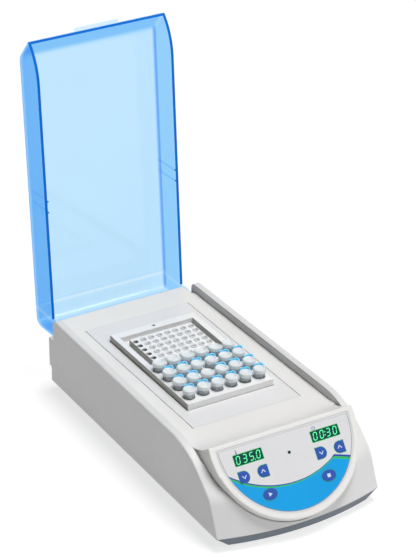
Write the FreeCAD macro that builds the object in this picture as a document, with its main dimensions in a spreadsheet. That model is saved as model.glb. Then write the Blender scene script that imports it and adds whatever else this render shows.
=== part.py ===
import FreeCAD, Part
import math
import os
import Sketcher

# Dry bath incubator with a clear hinged lid, in millimetres.
# X runs to the right, Y to the rear and Z up. Sizes along Y are measured from the foot centre, the point on
# the bench midway between the feet. The finished part's origin lies frame_y behind it, under the middle of
# the whole outline with the lid open.

doc = FreeCAD.newDocument("DryBathIncubator")
V = FreeCAD.Vector

# Driving sizes. Each one has a cell in the sheet, and every piece reads it from there.
SIZES = [
    ("housing_rear", 169.5, "rear face of the housing, from the foot centre"),
    ("half_width", 85.5, "half width of the housing, level with the foot centre"),
    ("side_taper", 0.0134, "gain in half width per millimetre towards the front"),
    ("shell_bottom", 11.0, "bottom edge of the outer shell above the bench, at the rear"),
    ("foot_rise", 0.0073, "rise of that edge per millimetre towards the front"),
    ("deck_height", 74.0, "top of the deck above the bench"),
    ("rail_height", 8.5, "side rails above the deck"),
    ("rail_width", 7.7, "width of a side rail"),
    ("rail_rear_gap", 10.0, "rails end this far before the rear face"),
    ("rail_end_radius", 6.0, "rounding of the rear end of a rail"),
    ("shell_wall", 2.6, "wall of the outer shell"),
    ("deck_wall", 2.6, "thickness of the deck cover"),
    ("ledge_width", 3.0, "ledge that carries the deck cover"),
    ("bow_axis", 93.0, "axis of the bowed front, behind the foot centre"),
    ("brow_start", -102.7, "where the front starts to fall, on the middle line"),
    ("brow_radius", 74.0, "radius of the front's upper curve"),
    ("brow_angle", 42.0, "slope at the end of the upper curve, in degrees"),
    ("brow_flat", 17.5, "straight stretch under the upper curve"),
    ("knuckle_radius", 26.0, "radius of the front's lower curve"),
    ("skirt_angle", 68.0, "slope of the skirt of the front, in degrees"),
    ("rear_step_top", 27.0, "top of the recess along the foot of the rear wall"),
    ("rear_step_depth", 4.0, "depth of that recess"),
    ("ramp_start", -95.0, "where the deck starts to rise to the pod"),
    ("ramp_radius", 61.5, "radius of the ramp"),
    ("ramp_full_end", -107.0, "the ramp fills the space between the rails up to here"),
    ("pod_edge", -135.8, "upper edge of the pod face"),
    ("pod_tilt", 52.5, "slope of the pod face, in degrees"),
    ("pod_side", 9.72, "side of the pod within the housing's side, at its upper edge"),
    ("pod_centre", 9.2, "centre of the pod below its upper edge, along the face"),
    ("pod_depth", 46.0, "depth of the pod wall behind its face"),
    ("pod_face", 3.0, "thickness of the pod face"),
    ("pod_edge_radius", 1.4, "rounding of the pod's edge"),
    ("edge_radius", 1.8, "rounding of the housing's long edges"),
    ("pod_gap", 0.5, "gap round the pod where it passes the shell"),
    ("overlay_rim", 6.6, "rim of the pod round the panel overlay"),
    ("overlay_edge", 4.7, "upper edge of the overlay below that of the pod"),
    ("overlay_thick", 0.8, "thickness of the overlay"),
    ("display_shift", 41.3, "middle of a display from the middle line"),
    ("display_drop", 18.1, "middle of a display below the pod edge"),
    ("display_width", 29.6, "width of a display window"),
    ("display_height", 9.8, "height of a display window"),
    ("key_size", 10.6, "width of an arrow key"),
    ("key_shift", 9.9, "arrow keys lie this far either side of the display middle"),
    ("key_drop", 34.2, "middle of the arrow keys below the pod edge"),
    ("run_key_width", 14.7, "width of a start or stop key"),
    ("run_key_height", 10.5, "height of a start or stop key"),
    ("run_key_shift", 31.6, "middle of a start or stop key from the middle line"),
    ("run_key_drop", 56.1, "middle of the start and stop keys below the pod edge"),
    ("key_rise", 0.5, "keys stand this proud of the overlay"),
    ("key_travel", 0.4, "travel of a key"),
    ("lamp_drop", 25.0, "indicator lamp below the pod edge"),
    ("lamp_radius", 1.5, "radius of the indicator lamp"),
    ("board_depth", 11.0, "front of the control board behind the pod face"),
    ("board_thick", 1.6, "thickness of a circuit board"),
    ("bezel_width", 116.6, "width of the well bezel"),
    ("bezel_length", 213.4, "length of the well bezel"),
    ("bezel_middle", 30.3, "middle of the bezel from the foot centre"),
    ("bezel_thick", 1.6, "thickness of the well bezel"),
    ("bezel_gap", 0.6, "gap at the long sides of the bezel"),
    ("block_width", 93.6, "width of the sample block"),
    ("block_length", 153.5, "length of the sample block"),
    ("block_bottom", 42.0, "underside of the sample block above the bench"),
    ("block_proud", 6.5, "sample block above the deck"),
    ("block_gap", 0.8, "gap round the sample block"),
    ("tube_pitch", 15.45, "pitch of the tube holes across"),
    ("tube_row_pitch", 19.5, "pitch of the tube holes along"),
    ("tube_first_row", 11.6, "first row of tube holes from the front of the block"),
    ("tube_hole", 5.8, "radius of a tube hole"),
    ("tube_depth", 32.0, "depth of a tube hole"),
    ("tube_radius", 5.4, "radius of a tube"),
    ("tube_stand", 5.2, "tube above the block, under its cap"),
    ("cap_radius", 6.4, "radius of a tube cap"),
    ("cap_height", 4.2, "height of a tube cap"),
    ("well_pitch", 9.0, "pitch of the small wells"),
    ("well_radius", 2.8, "radius of a small well"),
    ("well_depth", 14.0, "depth of a small well"),
    ("recess_width", 82.0, "width of the recess round the small wells"),
    ("recess_length", 61.2, "length of that recess"),
    ("recess_rim", 9.8, "rim of the block behind the recess"),
    ("recess_depth", 6.2, "depth of the recess"),
    ("array_width", 69.6, "width of the raised part that holds the small wells"),
    ("array_length", 53.6, "length of that raised part"),
    ("well_margin", 6.8, "last row of small wells before the rear edge of the raised part"),
    ("lift_hole_radius", 1.7, "radius of the threaded lifting hole in the rear rim"),
    ("well_clearance", 0.7, "clearance round the block in the insulation"),
    ("sensor_radius", 1.5, "radius of the temperature sensor"),
    ("cutout_radius", 8.0, "radius of the thermal cut-out"),
    ("cutout_y", 60.0, "thermal cut-out behind the foot centre"),
    ("well_post_x", 44.0, "posts under the insulation, from the middle line"),
    ("well_post_y", 66.0, "posts under the insulation, from the bezel's middle"),
    ("well_post_radius", 4.0, "radius of a post under the insulation"),
    ("tube_cone", 14.5, "height of a tube's cone"),
    ("plate_thick", 6.0, "thickness of the heater plate"),
    ("mat_thick", 1.5, "thickness of the heating mat"),
    ("insulation_wall", 8.5, "wall of the insulation"),
    ("insulation_floor", 12.5, "floor of the insulation"),
    ("pan_bottom", 3.6, "underside of the base pan above the bench"),
    ("pan_wall", 1.6, "sheet of the base pan"),
    ("pan_side_inset", 13.0, "base pan's underside within the shell, at the sides"),
    ("pan_front_inset", 5.5, "base pan's underside within the shell, at the front"),
    ("foot_radius", 8.0, "radius of a rubber foot"),
    ("foot_inset", 29.5, "feet within the housing's side, level with the foot centre"),
    ("foot_y", 135.0, "feet before and behind the foot centre"),
    ("hinge_y", 164.3, "lid hinge axis behind the foot centre"),
    ("hinge_drop", 11.5, "lid hinge axis below the deck"),
    ("ear_radius", 10.8, "radius of a hinge ear"),
    ("hinge_screw_radius", 2.0, "radius of a hinge screw"),
    ("lid_side_gap", 0.33, "gap between the lid and a side rail"),
    ("lid_wall", 2.9, "wall of the lid"),
    ("lid_depth", 38.0, "depth of the lid"),
    ("lid_rear", 174.0, "rear face of the closed lid"),
    ("lid_brow", -114.6, "front edge of the lid's flat top"),
    ("lid_front", -135.6, "front lip of the closed lid"),
    ("lid_brow_radius", 12.0, "rounding of the lid's front edge"),
    ("lid_lip_drop", 20.5, "fall from the lid's top to its front lip"),
    ("lid_corner", 9.0, "rounding of the lid's rear corner"),
    ("lid_open", 93.5, "angle of the open lid, in degrees"),
    ("lid_rest_gap", 0.5, "closed lid above the deck"),
    ("tab_half_width", 24.0, "half width of the finger tab"),
    ("tab_reach", 4.0, "reach of the finger tab"),
    ("slot_gap", 0.4, "gap between a hinge ear and the inner wall of its slot"),
    ("slot_wall", 2.2, "wall of a hinge slot"),
    ("nut_radius", 3.9, "hinge nut, from its axis to a corner"),
    ("nut_thick", 3.2, "thickness of a hinge nut"),
    ("nut_gap", 0.3, "gap round a hinge nut"),
    ("inlet_side", 21.9, "middle of the power inlet from the hinge slot"),
    ("rear_row_z", 44.0, "height of the parts on the rear wall"),
    ("fuse_x", 19.0, "fuse holder from the middle line"),
    ("rocker_x", -6.0, "mains switch from the middle line"),
    ("probe_x", -42.0, "probe socket from the middle line"),
    ("rocker_swing", 14.0, "swing of the mains switch, in degrees"),
    ("power_board_x", -20.0, "middle of the power board from the middle line"),
    ("power_board_y", 139.0, "middle of the power board behind the foot centre"),
    ("power_board_width", 80.0, "width of the power board"),
    ("power_board_length", 38.0, "length of the power board"),
    ("power_board_low", 16.0, "underside of the power board above the bench"),
    ("power_board_rim", 5.0, "fixings of the power board from its ends"),
    ("post_rim", 15.6, "outer posts of the control board within the pod's side"),
    ("post_drop", 30.0, "outer posts of the control board, down from the pod edge"),
    ("post_low_shift", 12.0, "lower posts of the control board from the middle line"),
    ("post_low_drop", 62.0, "lower posts of the control board, down from the pod edge"),
    ("board_rim", 12.6, "ends of the control board within the pod's side"),
    ("frame_y", 21.4, "the part's origin behind the foot centre"),
]

# Sizes that follow from the others
DERIVED = [
    ("pod_radius", "=half_width - side_taper * pod_edge - pod_side", "radius of the pod"),
    ("overlay_radius", "=pod_radius - overlay_rim", "radius of the panel overlay"),
    ("foot_x", "=half_width - foot_inset", "feet from the middle line"),
    ("lid_half_width", "=half_width - side_taper * housing_rear - rail_width - lid_side_gap",
     "half width of the lid"),
    ("slot_inner", "=lid_half_width - lid_wall - slot_gap", "inner wall of a hinge slot from the middle line"),
    ("inlet_x", "=slot_inner - inlet_side", "power inlet from the middle line"),
]

sheet = doc.addObject("Spreadsheet::Sheet", "Sizes")
for row, (alias, value, meaning) in enumerate(SIZES + DERIVED, start=1):
    sheet.set(f"A{row}", meaning)
    sheet.set(f"B{row}", str(value))
    sheet.setAlias(f"B{row}", alias)
doc.recompute()


def size(alias):
    return float(getattr(sheet, alias))


# Small helpers for plain shapes
def box(x0, x1, y0, y1, z0, z1):
    return Part.makeBox(x1 - x0, y1 - y0, z1 - z0, V(x0, y0, z0))


def rod(centre, axis, radius, length):
    return Part.makeCylinder(radius, length, V(*centre), V(*axis))


def prism(points, direction, length):
    """A closed outline of points, pushed along a direction."""
    wire = Part.makePolygon([V(*p) for p in points] + [V(*points[0])])
    push = V(*direction)
    push.multiply(length)
    return Part.Face(wire).extrude(push)


def arc_between(centre, radius, start, end):
    """An arc in the YZ plane from the start angle to the end angle, in degrees."""
    points = []
    for angle in (start, 0.5 * (start + end), end):
        turn = math.radians(angle)
        points.append(V(0, centre[0] + radius * math.cos(turn), centre[1] + radius * math.sin(turn)))
    return Part.Arc(*points).toShape()


def line(p, q):
    return Part.makeLine(V(0, *p), V(0, *q))


def end_of(edge, which):
    point = edge.valueAt(edge.FirstParameter if which == 0 else edge.LastParameter)
    return (point.y, point.z)


def feature(label, shape, placement=None):
    """A finished piece whose form comes from the sheet through the functions below."""
    piece = doc.addObject("Part::Feature", label)
    piece.Label = label
    piece.Shape = shape
    if placement is not None:
        piece.Placement = placement
    pieces.append(piece)
    return piece


def keep(piece, label):
    piece.Label = label
    pieces.append(piece)
    return piece


pieces = []

# Heights and places that follow from the sheet
deck_top = size("deck_height")
deck_under = deck_top - size("deck_wall")
rail_top = deck_top + size("rail_height")
rear = size("housing_rear")
wall = size("shell_wall")
bottom = size("shell_bottom")
foot_rise = size("foot_rise")
pan_floor = size("pan_bottom") + size("pan_wall")
screw_radius = 1.5
far = 400.0
pod_edge_z = deck_top + size("ramp_radius") - math.sqrt(
    size("ramp_radius") ** 2 - (size("ramp_start") - size("pod_edge")) ** 2
)
pod_place = FreeCAD.Placement(
    V(0, size("pod_edge"), pod_edge_z), FreeCAD.Rotation(V(1, 0, 0), size("pod_tilt"))
)
hinge_z = deck_top - size("hinge_drop")
block_front = size("bezel_middle") - size("block_length") / 2
block_back = size("bezel_middle") + size("block_length") / 2
block_top = deck_top + size("block_proud")


def half_width(y, inset=0.0):
    return size("half_width") - size("side_taper") * y - inset


def slab(inset, y0, y1, z0, z1):
    """A block between the two tapered sides, drawn in by the inset."""
    a, b = half_width(y0, inset), half_width(y1, inset)
    return prism([(-a, y0, z0), (a, y0, z0), (b, y1, z0), (-b, y1, z0)], (0, 0, 1), z1 - z0)


# Outer shell
def front_form(inset, low, high):
    """The bowed front: a section on the middle line, turned about the upright bow axis."""
    brow, knuckle = size("brow_radius"), size("knuckle_radius")
    slope, skirt = size("brow_angle"), size("skirt_angle")
    top = rail_top - inset
    brow_centre = (size("brow_start"), rail_top - brow)
    upper = arc_between(brow_centre, brow - inset, 90, 90 + slope)
    a = end_of(upper, 1)
    run = size("brow_flat")
    b = (a[0] - run * math.cos(math.radians(slope)), a[1] - run * math.sin(math.radians(slope)))
    reach = knuckle - inset
    knuckle_centre = (
        b[0] + reach * math.sin(math.radians(slope)),
        b[1] - reach * math.cos(math.radians(slope)),
    )
    lower = arc_between(knuckle_centre, reach, 90 + slope, 90 + skirt)
    c = end_of(lower, 1)
    fall = c[1] - low
    d = (c[0] - fall / math.tan(math.radians(skirt)), low)
    axis = size("bow_axis")
    edges = [
        line((axis, top), (size("brow_start"), top)),
        upper,
        line(a, b),
        lower,
        line(c, d),
        line(d, (axis, low)),
        line((axis, low), (axis, top)),
    ]
    wire = Part.Wire(Part.__sortEdges__(edges))
    form = Part.Face(wire).revolve(V(0, axis, 0), V(0, 0, 1), 360)
    if high < top:
        form = form.common(box(-far, far, -far, far, low - 1, high))
    return form


def pod_cylinder(radius, front, back):
    """A round bar square to the pod face, from front to back, measured behind the face."""
    bar = Part.makeCylinder(radius, back - front, V(0, -size("pod_centre"), -back))
    bar.Placement = pod_place.multiply(bar.Placement)
    return bar


def hinge_slots(grow):
    """The two slots at the rear corners that take the ears of the lid."""
    inner = size("slot_inner")
    outer = half_width(rear, size("rail_width"))
    front = size("hinge_y") - size("ear_radius") - 1.0 - grow
    low = hinge_z - size("ear_radius") - 1.2 - grow
    slot = box(inner - grow, outer + grow, front, rear + (0 if grow else 1), low, rail_top + 1)
    return slot.fuse(slot.mirror(V(0, 0, 0), V(1, 0, 0)))


def corner_notches():
    """What is missing from the rear corners, so that the ears swing clear."""
    start = rear - size("rail_rear_gap")
    floor = hinge_z - 4.0
    notch = box(size("slot_inner"), far, start, rear + 1, floor, rail_top + 1)
    return notch.fuse(notch.mirror(V(0, 0, 0), V(1, 0, 0)))


def rail_end_cut():
    """The corner that the rounded rear end of each rail lacks."""
    radius = size("rail_end_radius")
    end = rear - size("rail_rear_gap")
    blank = box(-far, far, end - radius, end + 1, rail_top - radius, rail_top + 1)
    return blank.cut(rod((-far, end - radius, rail_top - radius), (1, 0, 0), radius, 2 * far))


def make_outer_shell():
    outer = front_form(0, bottom, rail_top).common(slab(0, -far, rear, bottom, rail_top))
    # soften the long edges between the sides and the top and front
    long_edges = []
    for edge in outer.Edges:
        middle = edge.valueAt(0.5 * (edge.FirstParameter + edge.LastParameter))
        on_side = abs(abs(middle.x) - half_width(middle.y)) < 0.05
        if on_side and middle.z > bottom + 0.1 and middle.y < rear - 0.1:
            long_edges.append(edge)
    outer = outer.makeFillet(size("edge_radius"), long_edges)
    rail = size("rail_width")
    ledge_top = deck_under
    ledge_low = ledge_top - 3.0
    inner = front_form(wall, bottom - 1, rail_top)
    hollow = inner.common(slab(wall, -far, rear - wall, bottom - 1, ledge_low))
    for side in (-1, 1):
        # the hollow of each rail, between its outer and its inner wall
        channel = slab(wall, -far, rear - size("rail_rear_gap") - wall, ledge_low, rail_top - wall)
        channel = channel.cut(slab(rail - wall, -far, far, ledge_low - 1, rail_top))
        channel = channel.common(box(min(0, side * far), max(0, side * far), -far, far, 0, far))
        hollow = hollow.fuse(inner.common(channel))
    shell = outer.cut(hollow)
    # the deck cover lies in this space, on a ledge along each rail and on the rear wall
    shell = shell.cut(slab(rail, -far, rear + 1, ledge_top, rail_top + 1))
    shell = shell.cut(slab(rail + size("ledge_width"), -far, rear - wall, ledge_low - 1, ledge_top + 1))
    shell = shell.cut(pod_cylinder(size("pod_radius") + size("pod_gap"), -60, 90))
    # pockets that close off the hinge slots from the inside
    pockets = hinge_slots(size("slot_wall")).common(outer)
    pockets = pockets.cut(box(-far, far, -far, far, ledge_top, far).cut(
        box(-far, -half_width(rear, rail), -far, far, 0, far)).cut(
        box(half_width(rear, rail), far, -far, far, 0, far)))
    shell = shell.fuse(pockets)
    shell = shell.cut(hinge_slots(0)).cut(corner_notches()).cut(rail_end_cut())
    # floor of each corner notch
    floor = slab(0, rear - size("rail_rear_gap") - wall, rear, hinge_z - 4.0 - 2.2, hinge_z - 4.0)
    inside = box(-half_width(rear, rail), half_width(rear, rail), -far, far, 0, far)
    shell = shell.fuse(floor.cut(inside))
    # room for the hinge nuts, partly in the rear wall
    nut_reach = size("nut_radius") * math.cos(math.radians(30)) + size("nut_gap")
    nut_height = size("nut_radius") + size("nut_gap")
    nut_start = size("slot_inner") - size("slot_wall")
    for x in (-1, 1):
        ends = sorted((x * nut_start, x * (nut_start - size("nut_thick") - size("nut_gap"))))
        shell = shell.cut(box(ends[0], ends[1], size("hinge_y") - nut_reach, size("hinge_y") + nut_reach,
                              hinge_z - nut_height, hinge_z + nut_height))
    # recess along the foot of the rear wall
    step = size("rear_step_depth")
    low_rear = slab(wall, rear - wall - step, rear, bottom, size("rear_step_top") + wall)
    shell = shell.fuse(low_rear)
    shell = shell.cut(box(-far, far, rear - step, rear + 1, bottom - 1, size("rear_step_top")))
    # the bottom edge rises towards the front
    shell = shell.cut(prism([
        (-far, rear + 1, bottom - 20), (-far, rear + 1, bottom - foot_rise),
        (-far, -far, bottom + foot_rise * (rear + far)), (-far, -far, bottom - 20),
    ], (1, 0, 0), 2 * far))
    # screw bosses that reach down to the base pan
    boss_top = ledge_low - 30.0
    for x in (-1, 1):
        for y in (-1, 1):
            place = (x * boss_x, y * boss_y, pan_floor)
            shell = shell.fuse(rod(place, (0, 0, 1), 4.0, boss_top - pan_floor))
            # a web ties each boss to the side wall
            end = half_width(y * boss_y) * x - x * 0.5 * wall
            web = box(min(x * boss_x, end), max(x * boss_x, end), y * boss_y - 1.0, y * boss_y + 1.0,
                      bottom + foot_rise * (rear + boss_y) + 1.5, boss_top)
            shell = shell.fuse(web)
    for x in (-1, 1):
        for y in (-1, 1):
            shell = shell.cut(rod((x * boss_x, y * boss_y, 0), (0, 0, 1), screw_radius + 0.05, 21.0))
    # openings of the rear wall
    for cutter in rear_wall_cutters():
        shell = shell.cut(cutter)
    # screw holes of the hinges
    for x in (-1, 1):
        shell = shell.cut(rod((x * (size("slot_inner") - 8.0), size("hinge_y"), hinge_z), (x, 0, 0),
                              size("hinge_screw_radius"), 9.0))
    return shell.removeSplitter()


boss_x = size("foot_x") + 8.0
boss_y = size("foot_y") - 22.0


def rear_wall_cutters():
    """Cut-outs of the rear wall, each the outline of the piece that snaps in."""
    z = size("rear_row_z")
    y0, y1 = rear - wall - 1, rear + 1
    return [
        box(size("inlet_x") - 14.0, size("inlet_x") + 14.0, y0, y1, z - 10.5, z + 10.5),
        rod((size("fuse_x"), y0, z), (0, 1, 0), 6.4, y1 - y0),
        box(size("rocker_x") - 6.5, size("rocker_x") + 6.5, y0, y1, z - 9.75, z + 9.75),
        rod((size("probe_x"), y0, z), (0, 1, 0), 4.5, y1 - y0),
    ]


# Deck cover with ramp and pod
def under_ramp(drop, y_back):
    """Everything under the deck and ramp surface, lowered by a drop."""
    start, radius = size("ramp_start"), size("ramp_radius")
    edge = size("pod_edge")
    centre = (start, deck_top + radius)
    sweep = math.degrees(math.asin((start - edge) / radius))
    curve = arc_between(centre, radius + drop, -90, -90 - sweep - 6)
    tip = end_of(curve, 1)
    foot = end_of(curve, 0)
    front = edge - 120
    edges = [
        curve,
        line(tip, (front, tip[1] + 60)),
        line((front, tip[1] + 60), (front, -60)),
        line((front, -60), (y_back, -60)),
        line((y_back, -60), (y_back, foot[1])),
        line((y_back, foot[1]), foot),
    ]
    face = Part.Face(Part.Wire(Part.__sortEdges__(edges)))
    body = face.extrude(V(2 * far, 0, 0))
    body.translate(V(-far, 0, 0))
    return body


def make_deck_cover():
    gap = 0.15
    rail = size("rail_width") + gap
    plate = slab(rail, size("ramp_start"), rear, deck_under, deck_top)
    ramp = slab(rail, size("ramp_full_end"), size("ramp_start") + 1, deck_under - 2, pod_edge_z)
    ramp = ramp.common(under_ramp(0, 0)).cut(under_ramp(size("deck_wall"), 0))
    pod = pod_cylinder(size("pod_radius"), 0, size("pod_depth")).common(under_ramp(0, -60))
    face_edges = []
    for edge in pod.Edges:
        middle = pod_place.inverse().multVec(edge.valueAt(0.5 * (edge.FirstParameter + edge.LastParameter)))
        end = pod_place.inverse().multVec(edge.valueAt(edge.FirstParameter))
        if abs(middle.z) < 0.01 and abs(end.z) < 0.01:
            face_edges.append(edge)
    pod = pod.makeFillet(size("pod_edge_radius"), face_edges)
    pod = pod.common(box(-far, far, -far, size("ramp_start") + 3, bottom + 2.5, far))
    hollow = pod_cylinder(size("pod_radius") - size("deck_wall"), size("pod_face"), 90)
    hollow = hollow.common(under_ramp(size("deck_wall"), -60))
    cover = plate.fuse([ramp, pod]).cut(hollow)
    # corners cut away for the hinge slots
    slot_front = size("hinge_y") - size("ear_radius") - 1.0
    for x in (-1, 1):
        edge = x * size("slot_inner")
        cover = cover.cut(box(min(edge, x * far), max(edge, x * far), slot_front, far, 0, far))
        strip = x * (half_width(rear, size("rail_width")) - gap)
        cover = cover.cut(box(min(strip, x * far), max(strip, x * far), slot_front - size("slot_wall") - gap,
                              far, 0, far))
    # opening and rebate for the well bezel
    length, width = size("bezel_length"), size("bezel_width")
    middle, side = size("bezel_middle"), size("bezel_gap")
    cover = cover.cut(box(-width / 2 - side, width / 2 + side, middle - length / 2 - 0.1,
                          middle + length / 2 + 0.1, deck_top - size("bezel_thick"), deck_top + 1))
    cover = cover.cut(box(-width / 2 + 3, width / 2 - 3, middle - length / 2 + 3,
                          middle + length / 2 - 3, deck_under - 1, deck_top + 1))
    # seat of the overlay, windows and key holes, drawn on the pod face
    local = [overlay_outline(0.15, -size("overlay_thick"), 1.0)]
    through = size("pod_face") + 1
    for x in (-1, 1):
        local.append(face_box(x * size("display_shift"), size("display_drop"),
                              size("display_width") + 0.6, size("display_height") + 0.6, -through, 0))
    for shape in KEYS.values():
        local.append(shape(0.3, -through, 0))
    local.append(face_rod(0, size("lamp_drop"), size("lamp_radius") + 0.05, -through, 0))
    for cutter in local:
        cutter.Placement = pod_place.multiply(cutter.Placement)
        cover = cover.cut(cutter)
    # four posts on the back of the face carry the control board
    for x, drop in board_posts:
        post = face_rod(x, drop, 3.0, -size("board_depth"), -size("pod_face") + 0.5)
        post = post.cut(face_rod(x, drop, 1.1, -size("board_depth") - 1, -size("pod_face") - 1))
        post.Placement = pod_place.multiply(post.Placement)
        cover = cover.fuse(post)
    return cover.removeSplitter()


# Outlines on the pod face: x to the right, drop down from the pod edge, heights out of the face
def face_box(x, drop, width, height, low, high):
    return box(x - width / 2, x + width / 2, -drop - height / 2, -drop + height / 2, low, high)


def face_rod(x, drop, radius, low, high):
    return Part.makeCylinder(radius, high - low, V(x, -drop, low))


def overlay_outline(grow, low, high):
    disc = face_rod(0, size("pod_centre"), size("overlay_radius") + grow, low, high)
    top = size("overlay_edge") - grow
    return disc.common(box(-far, far, -far, -top, low, high))


def arrow_key(x, flat_side):
    """A key with one flat side and one round side."""
    def build(grow, low, high):
        half = size("key_size") / 2 + grow
        drop = size("key_drop")
        disc = face_rod(x, drop, half, low, high)
        if flat_side < 0:
            square = box(x - half, x, -drop - half, -drop + half, low, high)
        else:
            square = box(x, x + half, -drop - half, -drop + half, low, high)
        return disc.fuse(square).removeSplitter()
    return build


def run_key(x):
    """An oval start or stop key."""
    def build(grow, low, high):
        major, minor = size("run_key_width") / 2 + grow, size("run_key_height") / 2 + grow
        oval = Part.Ellipse(V(x, -size("run_key_drop"), low), major, minor).toShape()
        return Part.Face(Part.Wire(oval)).extrude(V(0, 0, high - low))
    return build


left, right = -size("display_shift"), size("display_shift")
KEYS = {
    "key_temperature_down": arrow_key(left - size("key_shift"), -1),
    "key_temperature_up": arrow_key(left + size("key_shift"), 1),
    "key_time_down": arrow_key(right - size("key_shift"), -1),
    "key_time_up": arrow_key(right + size("key_shift"), 1),
    "key_start": run_key(-size("run_key_shift")),
    "key_stop": run_key(size("run_key_shift")),
}
key_middles = [
    (left - size("key_shift"), size("key_drop")),
    (left + size("key_shift"), size("key_drop")),
    (right - size("key_shift"), size("key_drop")),
    (right + size("key_shift"), size("key_drop")),
    (-size("run_key_shift"), size("run_key_drop")),
    (size("run_key_shift"), size("run_key_drop")),
]
post_x = size("pod_radius") - size("post_rim")
board_posts = [
    (-post_x, size("post_drop")),
    (post_x, size("post_drop")),
    (-size("post_low_shift"), size("post_low_drop")),
    (size("post_low_shift"), size("post_low_drop")),
]

feature("outer_shell", make_outer_shell())
feature("deck_cover", make_deck_cover())


# Panel pieces
def make_overlay():
    sheet_form = overlay_outline(0, -size("overlay_thick"), 0)
    for shape in KEYS.values():
        sheet_form = sheet_form.cut(shape(0.2, -2, 1))
    for x in (-1, 1):
        sheet_form = sheet_form.cut(face_box(x * size("display_shift"), size("display_drop"),
                                             size("display_width"), size("display_height"), -2, 1))
    return sheet_form.cut(face_rod(0, size("lamp_drop"), size("lamp_radius") + 0.05, -2, 1))


switch_height = 4.0
key_low = -size("board_depth") + switch_height + size("key_travel") + 0.05
feature("panel_overlay", make_overlay(), pod_place)
for name, shape in KEYS.items():
    # the cap fills the hole of the overlay, and a narrower stem reaches down to the switch
    cap = shape(0, -size("pod_face") - 0.5, size("key_rise"))
    middle = cap.BoundBox.Center
    stem = Part.makeCylinder(2.0, -size("pod_face") - 0.3 - key_low, V(middle.x, middle.y, key_low))
    feature(name, cap.fuse(stem), pod_place)
for side, name in ((-1, "display_temperature"), (1, "display_time")):
    x = side * size("display_shift")
    window = face_box(x, size("display_drop"), size("display_width") - 0.1, size("display_height") - 0.1,
                      -size("pod_face"), -0.1)
    feature(name + "_window", window, pod_place)
    module = face_box(x, size("display_drop"), size("display_width") + 2.0,
                      size("display_height") + 5.0, -size("board_depth"), -size("pod_face"))
    feature(name + "_module", module, pod_place)
lamp = face_rod(0, size("lamp_drop"), size("lamp_radius"), -size("board_depth"), 0.2)
feature("indicator_lamp", lamp, pod_place)


def make_control_board():
    low = -size("board_depth") - size("board_thick")
    width = 2 * (size("pod_radius") - size("board_rim"))
    board = face_box(0, 44.0, width, 46.0, low, -size("board_depth"))
    board = board.common(face_rod(0, size("pod_centre"), size("pod_radius") - 5.0, low - 1, 0))
    for x, drop in board_posts:
        board = board.fuse(face_rod(x, drop, 4.5, low, -size("board_depth")))
    for side in (-1, 1):
        display = face_box(side * size("display_shift"), size("display_drop"), size("display_width") + 6.0,
                           size("display_height") + 10.0, low, -size("board_depth"))
        board = board.fuse(display)
    board = board.fuse(face_box(0, size("lamp_drop"), 12.0, 12.0, low, -size("board_depth")))
    for x, drop in board_posts:
        board = board.cut(face_rod(x, drop, 1.3, low - 1, 0))
    return board.removeSplitter()


feature("control_board", make_control_board(), pod_place)
switches = [face_box(x, drop, 6.0, 6.0, -size("board_depth"), -size("board_depth") + switch_height)
            for x, drop in key_middles]
feature("key_switches", Part.Compound(switches), pod_place)
board_screws = []
for x, drop in board_posts:
    low = -size("board_depth") - size("board_thick")
    head = face_rod(x, drop, 2.3, low - 1.6, low)
    board_screws.append(head.fuse(face_rod(x, drop, 1.05, low, -size("board_depth") + 5.5)))
feature("control_board_screws", Part.Compound(board_screws), pod_place)


# Drawing helpers for the bodies that are built from sketches
def origin_part(body, role):
    for item in body.Origin.OriginFeatures:
        if item.Role == role:
            return item
    raise ValueError(role)


def new_body(label):
    body = doc.addObject("PartDesign::Body", label)
    body.Label = label
    pieces.append(body)
    return body


def new_sketch(body, name, plane, height=None):
    sketch = body.newObject("Sketcher::SketchObject", name)
    sketch.AttachmentSupport = [(origin_part(body, plane), "")]
    sketch.MapMode = "FlatFace"
    if height is not None:
        sketch.setExpression("AttachmentOffset.Base.z", height)
    return sketch


def tie(sketch, kind, geometry, point, expression):
    """Hold a point of the sketch at a distance from its origin that the sheet gives."""
    value = float(FreeCAD.Units.Quantity(sketch.evalExpression(expression)).Value)
    axis = -2 if kind == "DistanceX" else -1
    if abs(value) < 1e-9:
        sketch.addConstraint(Sketcher.Constraint("PointOnObject", geometry, point, axis))
        return
    index = sketch.addConstraint(Sketcher.Constraint(kind, -1, 1, geometry, point, value))
    sketch.setExpression(f"Constraints[{index}]", expression)


def number(sketch, expression):
    return float(FreeCAD.Units.Quantity(sketch.evalExpression(expression)).Value)


def draw_outline(sketch, corners):
    """A closed outline of straight lines, each corner held by two expressions."""
    points = [V(number(sketch, x), number(sketch, y), 0) for x, y in corners]
    count = len(points)
    lines = [sketch.addGeometry(Part.LineSegment(points[i], points[(i + 1) % count])) for i in range(count)]
    for i in range(count):
        sketch.addConstraint(Sketcher.Constraint("Coincident", lines[i], 2, lines[(i + 1) % count], 1))
    for index, (x, y) in zip(lines, corners):
        tie(sketch, "DistanceX", index, 1, x)
        tie(sketch, "DistanceY", index, 1, y)


def draw_rectangle(sketch, x0, x1, y0, y1):
    draw_outline(sketch, [(x0, y0), (x1, y0), (x1, y1), (x0, y1)])


def draw_circle(sketch, x, y, radius):
    centre = V(number(sketch, x), number(sketch, y), 0)
    index = sketch.addGeometry(Part.Circle(centre, V(0, 0, 1), number(sketch, radius)))
    tie(sketch, "DistanceX", index, 3, x)
    tie(sketch, "DistanceY", index, 3, y)
    held = sketch.addConstraint(Sketcher.Constraint("Radius", index, number(sketch, radius)))
    sketch.setExpression(f"Constraints[{held}]", radius)


def pad(body, sketch, name, length):
    solid = body.newObject("PartDesign::Pad", name)
    solid.Profile = sketch
    solid.setExpression("Length", length)
    body.Tip = solid
    return solid


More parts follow.
